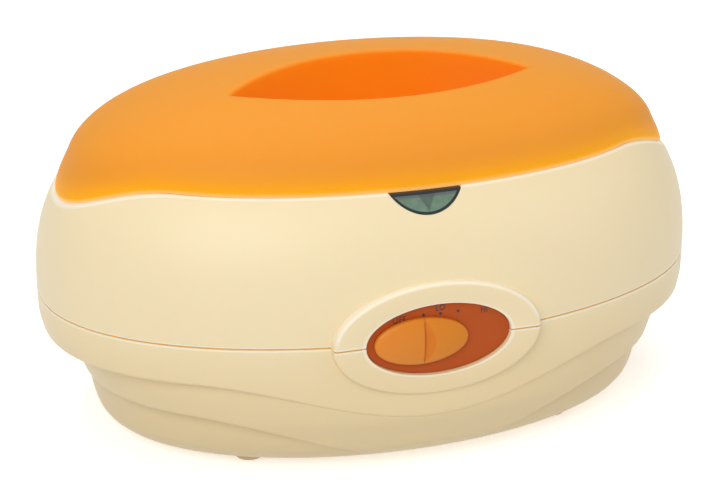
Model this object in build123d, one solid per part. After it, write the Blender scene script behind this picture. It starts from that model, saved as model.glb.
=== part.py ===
from build123d import *
from math import copysign, cos, pi, radians, sin
import os

# Body: an oval box seen from above, in millimetres, with its front towards -Y
body_half_x = 190.0
body_half_y = 123.0
front_power = 2.2
plan_steps = 12
seal_plan_steps = 16
foot_height = 3.0
base_depth = 78.0
seam_height = foot_height + base_depth
seam_gap = 0.8
wall = 2.8

# Upper casing, leaning in from the seam to the rim
rim_rise = 75.2
rim_lean_x = 24.1
rim_lean_y = 23.7
lean_power = 2.7
rim_height = seam_height + rim_rise
rim_half_x = body_half_x - rim_lean_x
rim_half_y = body_half_y - rim_lean_y

# Lid: a frosted dome that dips over both ends of the casing
dome_rise = 46.8
dome_plan_power = 2.136
dome_side_power = 2.3
lid_inset = 0.8
lid_wall = 2.8
lid_gap = 0.3
lip_clearance = 0.5
lip_wall = 1.7
lip_depth = 4.0
dip_start_x = 125.0
dip_end_x = 178.0
dip_depth = 18.0
lid_lift = 150.0

# Lid's fuller ends: height from the rim, then half length and half width drawn in by the lid's inset
shoulder_sections = [(-12, 175, 91.5), (-6, 172.6, 91), (0, 169.8, 90), (6, 166.7, 88.5)]
shoulder_sections += [(12, 162.4, 86.3), (17, 157.4, 84)]

# Grip scoop sunk into the top of the lid
scoop_centre_y = -27.0
scoop_half_x = 93.0
scoop_half_y = 35.0
scoop_floor_half_x = 64.0
scoop_floor_half_y = 13.0
scoop_depth = 33.0

# Draped layers of the lower casing: depth below the seam, then inset from the body's half sizes
skirt_sections = [(0, 0, 0), (10, 0.2, 0), (20, 2, 0), (30, 7, 0.3), (40, 13, 0.8), (50, 18, 1.6)]
middle_sections = [(14, 15, 5.5), (30, 18, 5.5), (45, 23, 6.5), (57, 27, 11.4), (67, 31, 16)]
middle_sections.append((base_depth, 45, 32))
bottom_sections = [(20, 23, 8), (38, 25.5, 9), (55, 27.5, 10), (67, 30, 14), (74, 35, 20.5)]
bottom_sections.append((base_depth, 43, 30.5))
middle_forward = 4.0
swag_half_x = 130.0
skirt_swag_depth = 23.0
middle_swag_depth = 45.5
swag_drop = 23.0
middle_swag_drop = 29.5

# Control panel on the front, where the two casings meet
panel_half_x = 58.0
panel_half_z = 31.5
panel_proud = 1.3
panel_depth = 14.0
panel_round = 1.0
window_half_x = 40.5
window_half_z = 20.0
window_depth = 5.1
seat_margin = 3.5
fit_clearance = 0.3
plate_recess = 2.7
plate_flange = 2.0

# Sliding selector
knob_half_x = 26.0
knob_half_z = 13.0
knob_skirt = 1.8
knob_dome = 3.4
knob_travel = 19.6
groove_width = 5.0
groove_depth = 2.2
stem_width = 8.0
stem_height = 5.0
slot_clearance = 0.5
carrier_width = 34.0
carrier_height = 16.0
carrier_thickness = 2.0
carrier_drop = 2.0
lever_size = 3.0
lever_drop = 5.5
switch_width = 40.0
switch_height = 12.0
switch_depth = 9.0
switch_gap = 1.3
lever_slot_depth = 3.0
blade_width = 3.0
blade_thickness = 0.8
blade_length = 6.5
blade_spread = 12.0
bracket_thickness = 1.5
bracket_half_x = 55.0
bracket_half_z = 7.0
post_x = 50.0
post_drop = 8.0
post_radius = 4.0
small_screw_radius = 1.5
small_head_radius = 2.8
small_head_height = 2.0
small_screw_length = 6.0
screw_clearance = 0.1

# Power lamp behind a half-round window under the rim
lens_chord = 41.0
lens_height = 11.2
lens_top_gap = 0.6
bezel_width = 1.0
lamp_radius = 2.2
lamp_length = 5.5
lamp_rise = 58.6
holder_half_x = 10.0
holder_back = 5.5
holder_wall = 1.2
lamp_lead_x = 1.4

# Aluminium tub for the melted wax
tub_top_x = 151.0
tub_top_y = 89.0
tub_taper = 13.0
tub_base_height = 28.0
tub_round = 12.0
tub_wall = 1.2
tub_flange_width = 11.0
tub_flange_thickness = 1.2
gasket_thickness = 1.5
gasket_inset = 1.0
shelf_rise = 50.5
shelf_thickness = 2.5
shelf_clearance = 1.0
guard_rise = 12.0
guard_thickness = 2.5
guard_clearance = 5.0
guard_hole_radius = 4.0
guard_pitch = 17.0
guard_leg_radius = 3.0

# Brackets that hold the tub under the shelf
tub_bracket_width = 14.0
tub_bracket_drop = 14.0
tub_bracket_reach = 11.0
tub_bracket_thickness = 1.5
tub_bracket_x = 30.0
touch_gap = 0.1

# Insulation, heating element and controls under the tub
blanket_gap = 0.4
blanket_thickness = 4.0
blanket_low = 46.0
blanket_high = 116.0
element_radius = 3.5
element_half_x = 98.0
element_half_y = 40.0
element_bend = 30.0
element_turn = 12.0
element_tail_x = 12.0
element_tail_y = 64.0
terminal_radius = 1.2
terminal_length = 8.0
strap_x = 60.0
strap_width = 14.0
strap_thickness = 1.5
strap_overhang = 8.0
stud_radius = 2.0
stud_length = 12.5
nut_across = 7.0
nut_height = 3.0
thermostat_radius = 9.0
thermostat_height = 7.0
thermostat_stud_x = 24.0
plate_margin = 6.0
fuse_radius = 2.0
fuse_length = 20.0
fuse_y = 19.0
fuse_block_length = 14.0
fuse_block_width = 8.0
shield_half_x = 118.0
shield_half_y = 58.0
shield_thickness = 0.8
shield_lift = 6.5
shield_post_x = 88.0
shield_post_y = 36.0

# Casing posts and screws
corner_post_x = 108.0
corner_post_y = 75.0
corner_post_radius = 4.6
corner_joint_height = 40.0
corner_screw_radius = 2.0
corner_head_radius = 3.6
corner_head_height = 2.6
corner_head_seat = 30.0
corner_screw_reach = 22.0
corner_peg_length = 8.0

# Wiring, gland, feet and label
block_x = -56.0
block_y = 74.0
block_length = 40.0
block_width = 16.0
block_height = 13.0
block_screw_pitch = 11.0
lead_radius = 1.1
lead_height = 9.6
lead_bend = 12.0
gland_height = 66.0
gland_bore = 3.2
gland_body = 6.0
gland_flange = 9.5
gland_inner_length = 6.0
gland_collar = 1.2
foot_x = 90.0
foot_y = 67.0
foot_radius = 8.5
foot_plug_radius = 3.0
foot_plug_length = 5.0
label_length = 64.0
label_width = 38.0
label_thickness = 0.4

reach_x = body_half_x + 30
reach_y = body_half_y + 30
front_face_y = -(body_half_y + panel_proud)
window_seat_y = front_face_y + window_depth
plate_front_y = front_face_y + plate_recess
plate_back_y = window_seat_y + plate_flange
knob_base_y = plate_front_y - fit_clearance
knob_front_y = knob_base_y - knob_skirt - knob_dome
carrier_front_y = plate_back_y + fit_clearance
carrier_back_y = carrier_front_y + carrier_thickness
switch_front_y = carrier_back_y + switch_gap
switch_back_y = switch_front_y + switch_depth
switch_centre_z = seam_height - lever_drop
knob_off_x = -knob_travel / 2
shelf_height = seam_height + shelf_rise
shelf_top = shelf_height + shelf_thickness
tub_flange_low = shelf_top + gasket_thickness
tub_top = tub_flange_low + tub_flange_thickness
floor_top = foot_height + wall
tub_inner_floor = tub_base_height + tub_wall
element_height = tub_base_height - touch_gap - element_radius
strap_top = element_height - element_radius - touch_gap
shield_height = floor_top + shield_lift
lamp_top_share = ((lamp_rise + lamp_length) / rim_rise) ** lean_power
lamp_y = -(body_half_y - rim_lean_y * lamp_top_share - wall - lamp_radius - holder_wall / 2)
thermostat_top = tub_base_height - touch_gap
thermostat_plate_top = thermostat_top - thermostat_height
fuse_z = (thermostat_top + thermostat_plate_top) / 2
switch_lead_y = switch_front_y + switch_depth * 0.6
blade_tip_z = switch_centre_z - switch_height / 2 - blade_length
block_front_y = block_y - block_width / 2


def plan_curve(half_x, half_y, height, forward=0.0, steps=plan_steps):
    """One closed plan curve: an ellipse with slightly fuller corners."""
    points = []
    for step in range(steps):
        angle = 2 * pi * step / steps
        deep = copysign(abs(sin(angle)) ** (2 / front_power), sin(angle))
        points.append(Vector(half_x * cos(angle), half_y * deep - forward, height))
    return Wire([Edge.make_spline(points, periodic=True)])


def oval_slab(half_x, half_y, low, high, steps=plan_steps):
    """A straight-sided oval block between two heights."""
    outline = plan_curve(half_x, half_y, low, 0.0, steps)
    return Solid.extrude(Face(outline), Vector(0, 0, high - low))


def casing_form(inset=0.0, low_rise=seam_gap / 2):
    """The upper casing's outer form, or a smaller copy of it, from the seam to the rim."""
    sections = []
    section_count = 6
    for step in range(section_count):
        rise = low_rise + (rim_rise - low_rise) * step / (section_count - 1)
        share = (rise / rim_rise) ** lean_power
        half_x = body_half_x - rim_lean_x * share - inset
        half_y = body_half_y - rim_lean_y * share - inset
        sections.append(plan_curve(half_x, half_y, seam_height + rise))
    return Solid.make_loft(sections)


def dome_form(inset):
    """The lid's dome above the rim, drawn in by the inset."""
    sections = []
    for angle in range(0, 90, 10):
        radius = cos(radians(angle)) ** (2 / dome_plan_power)
        rise = (dome_rise - inset) * sin(radians(angle)) ** (2 / dome_side_power)
        half_x = (rim_half_x - inset) * radius
        half_y = (rim_half_y - inset) * radius
        sections.append(plan_curve(half_x, half_y, rim_height + rise))
    sections.append(Vertex(0, 0, rim_height + dome_rise - inset))
    return Solid.make_loft(sections)


def lid_core(inset):
    """The lid's form over its edge, flush with the casing all round."""
    return casing_form(inset, rim_rise / 2) + dome_form(inset)


def shoulder_form(inset):
    """The fuller form at both ends that leads the casing's lean into the dome."""
    curves = []
    for rise, half_x, half_y in shoulder_sections:
        curves.append(plan_curve(half_x - inset, half_y - inset, rim_height + rise))
    return Solid.make_loft(curves)


def lid_form(inset):
    """The whole form that the lid is cut from."""
    return lid_core(inset) + shoulder_form(inset)


def block_above(line_edges, left, right):
    """Everything above a line drawn in the XZ plane."""
    top = seam_height + rim_rise + dome_rise + lid_lift
    high_right = Vector(right.X, 0, top)
    high_left = Vector(left.X, 0, top)
    sides = [Edge.make_line(right, high_right), Edge.make_line(high_left, left)]
    face = Face(Wire(line_edges + sides + [Edge.make_line(high_right, high_left)]))
    return Solid.extrude(face.moved(Location((0, reach_y, 0))), Vector(0, -2 * reach_y, 0))


def above_rim_wave(shift):
    """Space above the wavy line between the casing and the lid."""
    steps = 5
    right_points = []
    for step in range(steps + 1):
        x = dip_start_x + (reach_x - dip_start_x) * step / steps
        dip = dip_depth * ((x - dip_start_x) / (dip_end_x - dip_start_x)) ** 2
        right_points.append(Vector(x, 0, rim_height - dip + shift))
    left_points = [Vector(-point.X, 0, point.Z) for point in reversed(right_points)]
    flat = Edge.make_line(left_points[-1], right_points[0])
    edges = [Edge.make_spline(left_points), flat, Edge.make_spline(right_points)]
    return block_above(edges, left_points[0], right_points[-1])


def above_swag(depth, drop, shift):
    """Space above one draped edge, lowest at the middle of the front."""
    steps = 12
    points = []
    for step in range(steps + 1):
        x = -swag_half_x + 2 * swag_half_x * step / steps
        fall = drop * (1 + cos(pi * x / swag_half_x)) / 2
        points.append(Vector(x, 0, seam_height - depth - fall + shift))
    swag = Edge.make_spline(points, tangents=[(1, 0, 0), (1, 0, 0)])
    left = Vector(-reach_x, 0, points[0].Z)
    right = Vector(reach_x, 0, points[-1].Z)
    edges = [Edge.make_line(left, points[0]), swag, Edge.make_line(points[-1], right)]
    return block_above(edges, left, right)


def layer(sections, inset, forward):
    """One draped layer of the lower casing as a solid bowl."""
    top = seam_height - seam_gap / 2
    curves = []
    for depth, inset_x, inset_y in sections:
        share = (base_depth - inset - seam_gap / 2) / base_depth
        half_x = body_half_x - inset_x - inset
        half_y = body_half_y - inset_y - inset
        curves.append(plan_curve(half_x, half_y, top - depth * share, forward))
    return Solid.make_loft(curves)


def base_form(inset):
    """The lower casing's outer form, or a smaller copy of it."""
    skirt = layer(skirt_sections, inset, 0) & above_swag(skirt_swag_depth, swag_drop, inset)
    middle = layer(middle_sections, inset, middle_forward)
    middle = middle & above_swag(middle_swag_depth, middle_swag_drop, inset)
    under = middle + layer(bottom_sections, inset, 0)
    return skirt + under


def upright_oval(half_x, half_z, front_y, depth, centre_x=0.0, centre_z=seam_height):
    """An oval block whose face looks to the front."""
    outline = Plane(origin=(centre_x, front_y, centre_z), x_dir=(1, 0, 0), z_dir=(0, -1, 0))
    return extrude(outline * Ellipse(half_x, half_z), -depth)


def front_rod(radius, front_y, length, x, z):
    """A round rod along Y that starts at front_y."""
    plane = Plane(origin=(x, front_y, z), x_dir=(1, 0, 0), z_dir=(0, 1, 0))
    return extrude(plane * Circle(radius), length)


def rod(radius, low, high, x=0.0, y=0.0):
    """A round upright rod between two heights."""
    return Pos(x, y, low) * Cylinder(radius, high - low, align=(Align.CENTER, Align.CENTER, Align.MIN))


def block(x_range, y_range, z_range):
    """A rectangular block from its ranges."""
    size = [high - low for low, high in (x_range, y_range, z_range)]
    centre = [(high + low) / 2 for low, high in (x_range, y_range, z_range)]
    return Pos(*centre) * Box(*size)


def corners(x, y):
    """The four places mirrored about both middle planes."""
    return pair(x, -y) + pair(x, y)


def pair(x, y):
    """Two places mirrored left and right."""
    return [(-x, y), (x, y)]


def panel_boss():
    """The oval panel's solid boss, with its front edge rounded."""
    boss = upright_oval(panel_half_x, panel_half_z, front_face_y, panel_depth)
    return fillet(boss.edges().group_by(Axis.Y)[0], panel_round)


def panel_opening():
    """The window through the boss, wider behind for the plate's flange."""
    window = upright_oval(window_half_x, window_half_z, front_face_y - 1, window_depth + 1)
    seat_half_x = window_half_x + seat_margin
    seat_half_z = window_half_z + seat_margin
    return window + upright_oval(seat_half_x, seat_half_z, window_seat_y, panel_depth * 2)


def seam_side(upper):
    """Space above or below the gap at the seam."""
    span = (-foot_height, seam_height - seam_gap / 2)
    if upper:
        span = (seam_height + seam_gap / 2, tub_top + lid_lift)
    return block((-reach_x, reach_x), (-reach_y, reach_y), span)


def half_round(inset):
    """The half-round window's outline pushed straight back through the casing."""
    radius = ((lens_chord / 2) ** 2 + lens_height ** 2) / (2 * lens_height)
    low = rim_height - lens_height
    top = rim_height - lens_top_gap
    disc = front_rod(radius - inset, -reach_y, body_half_y, 0, low + radius)
    return disc & block((-lens_chord, lens_chord), (-reach_y, 0), (low, top - inset))


def make_upper_housing():
    shell = casing_form() - casing_form(wall)
    shelf_block = block((-reach_x, reach_x), (-reach_y, reach_y), (shelf_height, shelf_top))
    shelf = casing_form(wall / 2) & shelf_block
    added = [shelf, panel_boss() & seam_side(True)]
    low = corner_joint_height + fit_clearance
    for x, y in corners(corner_post_x, corner_post_y):
        added.append(rod(corner_post_radius, low, shelf_height + 1, x, y))
    for x, y in pair(corner_post_x, -corner_post_y):
        added.append(rod(corner_screw_radius, low - corner_peg_length, low + 1, x, y))
    cuts = [panel_opening(), above_rim_wave(0), half_round(0)]
    margin = shelf_clearance
    cuts.append(oval_slab(tub_top_x + margin, tub_top_y + margin, shelf_height - 1, shelf_top + 1))
    for x, y in pair(corner_post_x, corner_post_y):
        pilot_top = corner_head_seat + corner_screw_reach + 4
        cuts.append(rod(corner_screw_radius + screw_clearance, corner_joint_height, pilot_top, x, y))
    for x, y in tub_bracket_screws():
        cuts.append(rod(small_screw_radius + screw_clearance, shelf_height - 1, shelf_top - 0.5, x, y))
    hole_radius = lamp_lead_x + lead_radius + fit_clearance
    cuts.append(rod(hole_radius, shelf_height - 1, shelf_top + 1, 0, lamp_y))
    return (shell + added) - cuts


def make_lower_housing():
    shell = base_form(0) - base_form(wall)
    added = [panel_boss() & seam_side(False)]
    cuts = [panel_opening()]
    for x, y in corners(corner_post_x, corner_post_y):
        post = rod(corner_post_radius, foot_height, corner_joint_height, x, y)
        added.append(post & layer(bottom_sections, wall / 2, 0))
    for x, y in corners(shield_post_x, shield_post_y):
        added.append(rod(post_radius, floor_top - 1, shield_height, x, y))
        cuts.append(rod(small_screw_radius + screw_clearance, floor_top, shield_height + 1, x, y))
    z = seam_height - post_drop
    for side in (-1, 1):
        boss_front = front_face_y + panel_depth - 2
        added.append(front_rod(post_radius, boss_front, switch_back_y - boss_front, side * post_x, z))
        screw_tip = switch_back_y - small_screw_length
        hole_radius = small_screw_radius + screw_clearance
        cuts.append(front_rod(hole_radius, screw_tip, panel_depth, side * post_x, z))
    for x, y in pair(corner_post_x, corner_post_y):
        cuts.append(rod(corner_screw_radius + screw_clearance, 0, corner_joint_height + 1, x, y))
        cuts.append(rod(corner_head_radius + fit_clearance, 0, corner_head_seat, x, y))
    for x, y in pair(corner_post_x, -corner_post_y):
        socket_low = corner_joint_height - corner_peg_length
        cuts.append(rod(corner_screw_radius + screw_clearance, socket_low, seam_height, x, y))
    for x, y in corners(foot_x, foot_y):
        cuts.append(rod(foot_plug_radius + screw_clearance, 0, floor_top + 1, x, y))
    cuts.append(front_rod(gland_body + touch_gap, body_half_y / 2, body_half_y, 0, gland_height))
    return (shell + added) - cuts


def make_seam_seal():
    low = seam_height - seam_gap / 2
    high = seam_height + seam_gap / 2
    ring = oval_slab(body_half_x - 0.6, body_half_y - 0.6, low, high, seal_plan_steps)
    inner_x = body_half_x - wall + 0.5
    inner_y = body_half_y - wall + 0.5
    ring = ring - oval_slab(inner_x, inner_y, low - 1, high + 1, seal_plan_steps)
    return ring - upright_oval(panel_half_x + 0.5, panel_half_z, -reach_y, reach_y)


def eye_outline(half_x, half_y, height):
    """A closed outline of two arcs that meet in points at both ends."""
    left = (-half_x, scoop_centre_y, height)
    right = (half_x, scoop_centre_y, height)
    front = Edge.make_three_point_arc(left, (0, scoop_centre_y - half_y, height), right)
    back = Edge.make_three_point_arc(right, (0, scoop_centre_y + half_y, height), left)
    return Wire([front, back])


def scoop(margin):
    """The grip scoop's space, or the larger space that its wall fills."""
    floor = rim_height + dome_rise - scoop_depth - margin
    top = rim_height + dome_rise + margin
    low_outline = eye_outline(scoop_floor_half_x + margin * 1.6, scoop_floor_half_y + margin, floor)
    high_outline = eye_outline(scoop_half_x + margin * 1.6, scoop_half_y + margin, top)
    space = Solid.make_loft([low_outline, high_outline], ruled=True)
    return space


def make_lid():
    shell = lid_form(lid_inset) - scoop(0)
    hollow = lid_form(lid_inset + lid_wall) - scoop(lid_wall)
    shell = shell - hollow
    shell = shell & above_rim_wave(lid_gap)
    lip_inset = wall + lip_clearance
    lip = lid_core(lip_inset) - lid_core(lip_inset + lip_wall)
    lip = lip & above_rim_wave(-lip_depth)
    lip = lip - above_rim_wave(lip_depth)
    return shell + lip


def lens_layer(outer_inset, inner_inset):
    """A skin of the upper casing's wall between two insets."""
    return casing_form(outer_inset) - casing_form(inner_inset)


def make_bezel():
    ring = half_round(fit_clearance / 2) - half_round(fit_clearance / 2 + bezel_width)
    return ring & lens_layer(0, wall)


def make_lens():
    return half_round(fit_clearance + bezel_width) & lens_layer(0.3, wall)


def make_lamp():
    low = seam_height + lamp_rise
    straight = lamp_length - lamp_radius
    glass = rod(lamp_radius, low, low + straight, 0, lamp_y)
    return glass + (Pos(0, lamp_y, low + straight) * Sphere(lamp_radius))


def make_lamp_holder():
    low = seam_height + lamp_rise - holder_wall
    high = rim_height - lip_depth - 1
    cup = block((-holder_half_x, holder_half_x), (-reach_y, lamp_y + holder_back), (low, high))
    cup = cup & casing_form(wall + touch_gap)
    inner = block(
        (-holder_half_x + holder_wall, holder_half_x - holder_wall),
        (-reach_y, lamp_y + holder_back - holder_wall),
        (low + holder_wall, high - holder_wall),
    )
    cup = cup - inner
    for side in (-1, 1):
        cup = cup - rod(lead_radius + touch_gap, low - 1, low + holder_wall + 1, side * lamp_lead_x, lamp_y)
    return cup


def tub_form(margin):
    """The tub's tapered body, grown or shrunk by the margin, with a rounded lower edge."""
    base_x = tub_top_x - tub_taper + margin
    base_y = tub_top_y - tub_taper + margin
    low = plan_curve(base_x, base_y, tub_base_height - margin)
    high = plan_curve(tub_top_x + margin, tub_top_y + margin, tub_top)
    body = Solid.make_loft([low, high], ruled=True)
    return body.fillet(tub_round + margin, body.edges().group_by(Axis.Z)[0])


def make_tub():
    flange = oval_slab(tub_top_x + tub_flange_width, tub_top_y + tub_flange_width, tub_flange_low, tub_top)
    body = tub_form(0) + flange
    inner = tub_form(-tub_wall)
    body = body - inner
    for x in (-strap_x, -thermostat_stud_x, thermostat_stud_x, strap_x):
        body = body + rod(stud_radius, tub_base_height - stud_length, tub_base_height + tub_wall / 2, x, 0)
    return body


def make_gasket():
    outer = tub_flange_width - gasket_inset
    ring = oval_slab(tub_top_x + outer, tub_top_y + outer, shelf_top, tub_flange_low)
    margin = shelf_clearance + gasket_inset
    return ring - oval_slab(tub_top_x + margin, tub_top_y + margin, shelf_top - 1, tub_flange_low + 1)


def make_guard():
    """The slotted tray that keeps hands off the tub's hot floor."""
    low = tub_inner_floor + guard_rise
    half_x = tub_top_x - tub_taper - guard_clearance - tub_wall
    half_y = tub_top_y - tub_taper - guard_clearance - tub_wall
    tray = oval_slab(half_x, half_y, low, low + guard_thickness)
    columns = int((half_x - guard_pitch) / guard_pitch)
    rows = int((half_y - guard_pitch / 2) / guard_pitch)
    for column in range(-columns, columns + 1):
        for row in range(-rows, rows + 1):
            x = column * guard_pitch
            y = row * guard_pitch
            reach = (abs(x) + guard_hole_radius * 2) / half_x
            depth = (abs(y) + guard_hole_radius * 2) / half_y
            if reach ** 2 + depth ** 2 < 1:
                tray = tray - rod(guard_hole_radius, low - 1, low + guard_thickness + 1, x, y)
    for x, y in corners(half_x * 0.66, half_y * 0.6):
        tray = tray + rod(guard_leg_radius, tub_inner_floor + touch_gap, low + 1, x, y)
    return tray


def tub_bracket_screws():
    """Where the four tub brackets are screwed up into the shelf."""
    out_x = tub_top_x + shelf_clearance + tub_bracket_reach / 2 + 1
    out_y = tub_top_y + shelf_clearance + tub_bracket_reach / 2 + 1
    return [(out_x, 0), (-out_x, 0), (tub_bracket_x, out_y), (-tub_bracket_x, -out_y)]


def make_tub_brackets():
    """Angle brackets welded to the tub's side and screwed under the shelf."""
    high = shelf_height - touch_gap
    foot_low = high - tub_bracket_thickness
    leaf_low = high - tub_bracket_drop
    half = tub_bracket_width / 2
    outline = tub_form(touch_gap)
    brackets = []
    for x, y in tub_bracket_screws():
        if y == 0:
            near = copysign(tub_top_x - 5, x)
            wall_side = copysign(tub_top_x + tub_bracket_thickness, x)
            far = copysign(tub_top_x + shelf_clearance + tub_bracket_reach + 1, x)
            foot = block(sorted((near, far)), (-half, half), (foot_low, high))
            leaf = block(sorted((near, wall_side)), (-half, half), (leaf_low, high))
        else:
            near = copysign(tub_top_y - 5, y)
            wall_side = copysign(tub_top_y + tub_bracket_thickness, y)
            far = copysign(tub_top_y + shelf_clearance + tub_bracket_reach + 1, y)
            foot = block((x - half, x + half), sorted((near, far)), (foot_low, high))
            leaf = block((x - half, x + half), sorted((near, wall_side)), (leaf_low, high))
        piece = foot + leaf - outline
        piece = piece - rod(small_screw_radius + screw_clearance, foot_low - 1, high + 1, x, y)
        brackets.append(piece)
    return brackets


def upright_screw(x, y, top):
    """A pan-head screw that points down, with its head on the given surface."""
    head = rod(small_head_radius, top, top + small_head_height, x, y)
    return head + rod(small_screw_radius, top - small_screw_length, top + 0.5, x, y)


def make_bracket_screws():
    head_top = shelf_height - touch_gap - tub_bracket_thickness
    shank_top = shelf_top - 0.6
    screws = []
    for x, y in tub_bracket_screws():
        screw = rod(small_head_radius, head_top - small_head_height, head_top, x, y)
        screws.append(screw + rod(small_screw_radius, head_top - 0.5, shank_top, x, y))
    return screws


def make_blanket():
    """Insulation wrapped round the tub's side."""
    span = block((-reach_x, reach_x), (-reach_y, reach_y), (blanket_low, blanket_high))
    wrap = tub_form(blanket_gap + blanket_thickness) - tub_form(blanket_gap)
    return wrap & span


def make_element():
    """Tubular heating element bent in a rounded loop under the tub's floor."""
    z = element_height
    points = [
        (element_tail_x, element_tail_y, z),
        (element_tail_x, element_half_y, z),
        (element_half_x, element_half_y, z),
        (element_half_x, -element_half_y, z),
        (-element_half_x, -element_half_y, z),
        (-element_half_x, element_half_y, z),
        (-element_tail_x, element_half_y, z),
        (-element_tail_x, element_tail_y, z),
    ]
    bends = [element_turn, element_bend, element_bend, element_bend, element_bend, element_turn]
    return tube(points, bends, element_radius)


def tube(points, bends, radius):
    """A round tube along straight runs joined by arcs."""
    path = FilletPolyline(*points, radius=bends)
    section = Plane(origin=path @ 0, z_dir=path % 0) * Circle(radius)
    return sweep(section, path=path)


def make_element_terminals():
    ends = []
    for side in (-1, 1):
        x = side * element_tail_x
        ends.append(front_rod(terminal_radius, element_tail_y, terminal_length, x, element_height))
    return ends


def make_straps():
    """Steel straps that press the element against the tub."""
    straps = []
    half_y = element_half_y + strap_overhang
    for side in (-1, 1):
        x = side * strap_x
        half = strap_width / 2
        low = strap_top - strap_thickness
        strap = block((x - half, x + half), (-half_y, half_y), (low, strap_top))
        straps.append(strap - rod(stud_radius + screw_clearance, low - 1, strap_top + 1, x))
    return straps


def nut(x, top):
    """A hexagon nut on one of the tub's studs."""
    outline = RegularPolygon(nut_across / 2, 6, major_radius=False)
    body = Pos(x, 0, top - nut_height) * extrude(outline, nut_height)
    return body - rod(stud_radius + screw_clearance, top - nut_height - 1, top + 1, x)


def make_nuts():
    nuts = [nut(side * strap_x, strap_top - strap_thickness) for side in (-1, 1)]
    plate_low = thermostat_plate_top - strap_thickness
    return nuts + [nut(side * thermostat_stud_x, plate_low) for side in (-1, 1)]


def make_thermostat():
    body = rod(thermostat_radius, thermostat_plate_top, thermostat_top)
    for side in (-1, 1):
        x = side * thermostat_radius / 3
        blade = block(
            (x - blade_thickness / 2, x + blade_thickness / 2),
            (-blade_width / 2, blade_width / 2),
            (thermostat_plate_top - blade_length + 1.5, thermostat_plate_top + 1),
        )
        body = body + blade
    return body


def make_thermostat_plate():
    half_x = thermostat_stud_x + plate_margin
    high_y = fuse_y + fuse_block_width / 2 + 2
    low = thermostat_plate_top - strap_thickness
    plate = block((-half_x, half_x), (-plate_margin * 1.5, high_y), (low, thermostat_plate_top))
    plate = plate - rod(thermostat_radius * 0.66, low - 1, thermostat_plate_top + 1)
    for side in (-1, 1):
        x = side * thermostat_stud_x
        plate = plate - rod(stud_radius + screw_clearance, low - 1, thermostat_plate_top + 1, x)
    return plate


def side_rod(radius, x_low, x_high, y, z):
    """A round rod along X."""
    plane = Plane(origin=(x_low, y, z), x_dir=(0, 1, 0), z_dir=(1, 0, 0))
    return extrude(plane * Circle(radius), x_high - x_low)


def make_fuse():
    return side_rod(fuse_radius, -fuse_length / 2, fuse_length / 2, fuse_y, fuse_z)


def make_fuse_block():
    half = fuse_block_length / 2
    width = fuse_block_width / 2
    body = block((-half, half), (fuse_y - width, fuse_y + width), (thermostat_plate_top, thermostat_top))
    return body - side_rod(fuse_radius + touch_gap, -half - 1, half + 1, fuse_y, fuse_z)


def make_shield():
    plate = oval_slab(shield_half_x, shield_half_y, shield_height, shield_height + shield_thickness)
    for x, y in corners(shield_post_x, shield_post_y):
        hole = rod(small_screw_radius + screw_clearance, shield_height - 1, shield_height + 2, x, y)
        plate = plate - hole
    return plate


def make_shield_screws():
    top = shield_height + shield_thickness
    return [upright_screw(x, y, top) for x, y in corners(shield_post_x, shield_post_y)]


def make_housing_screws():
    """Two screws at the back. Pegs hold the casing together at the front."""
    screws = []
    for x, y in pair(corner_post_x, corner_post_y):
        head = rod(corner_head_radius, corner_head_seat - corner_head_height, corner_head_seat, x, y)
        shank_top = corner_head_seat + corner_screw_reach
        screws.append(head + rod(corner_screw_radius, corner_head_seat - 0.5, shank_top, x, y))
    return screws


def make_control_plate():
    disc = upright_oval(
        window_half_x - fit_clearance,
        window_half_z - fit_clearance,
        plate_front_y,
        window_seat_y - plate_front_y + 0.5,
    )
    margin = seat_margin - fit_clearance
    flange = upright_oval(window_half_x + margin, window_half_z + margin, window_seat_y, plate_flange)
    slot_half = (knob_travel + stem_width) / 2 + slot_clearance
    slot_rise = stem_height / 2 + slot_clearance
    slot = block(
        (-slot_half, slot_half),
        (plate_front_y - 1, plate_back_y + 1),
        (seam_height - slot_rise, seam_height + slot_rise),
    )
    return disc + flange - slot


def make_knob():
    x = knob_off_x
    skirt = upright_oval(knob_half_x, knob_half_z, knob_base_y - knob_skirt, knob_skirt, x)
    dome = scale(Sphere(1), by=(knob_half_x, knob_dome, knob_half_z))
    dome = Pos(x, knob_base_y - knob_skirt, seam_height) * dome
    front = block((x - reach_x, x + reach_x), (-reach_y, knob_base_y - knob_skirt / 2), (0, tub_top))
    half_height = stem_height / 2
    stem = block(
        (x - stem_width / 2, x + stem_width / 2),
        (knob_base_y - 0.5, carrier_front_y),
        (seam_height - half_height, seam_height + half_height),
    )
    groove_front = knob_front_y - 1
    groove = Polyline(
        (x + 1, groove_front),
        (x + 1, knob_front_y + groove_depth),
        (x + 1 + groove_width, groove_front + 1),
        (x + 1 + groove_width, groove_front),
        close=True,
    )
    cut = extrude(Plane.XY.offset(seam_height - knob_half_z) * make_face(groove), 2 * knob_half_z)
    return skirt + (dome & front) + stem - cut


def make_carrier():
    x = knob_off_x
    middle = seam_height - carrier_drop
    half = carrier_height / 2
    body = block(
        (x - carrier_width / 2, x + carrier_width / 2),
        (carrier_front_y, carrier_back_y),
        (middle - half, middle + half),
    )
    opening = lever_size / 2 + touch_gap
    hole = block(
        (x - opening, x + opening),
        (carrier_front_y - 1, carrier_back_y + 1),
        (switch_centre_z - opening, switch_centre_z + opening),
    )
    return body - hole


def make_lever():
    half = lever_size / 2
    return block(
        (knob_off_x - half, knob_off_x + half),
        (carrier_front_y + touch_gap, switch_front_y + lever_slot_depth - fit_clearance),
        (switch_centre_z - half, switch_centre_z + half),
    )


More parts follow.
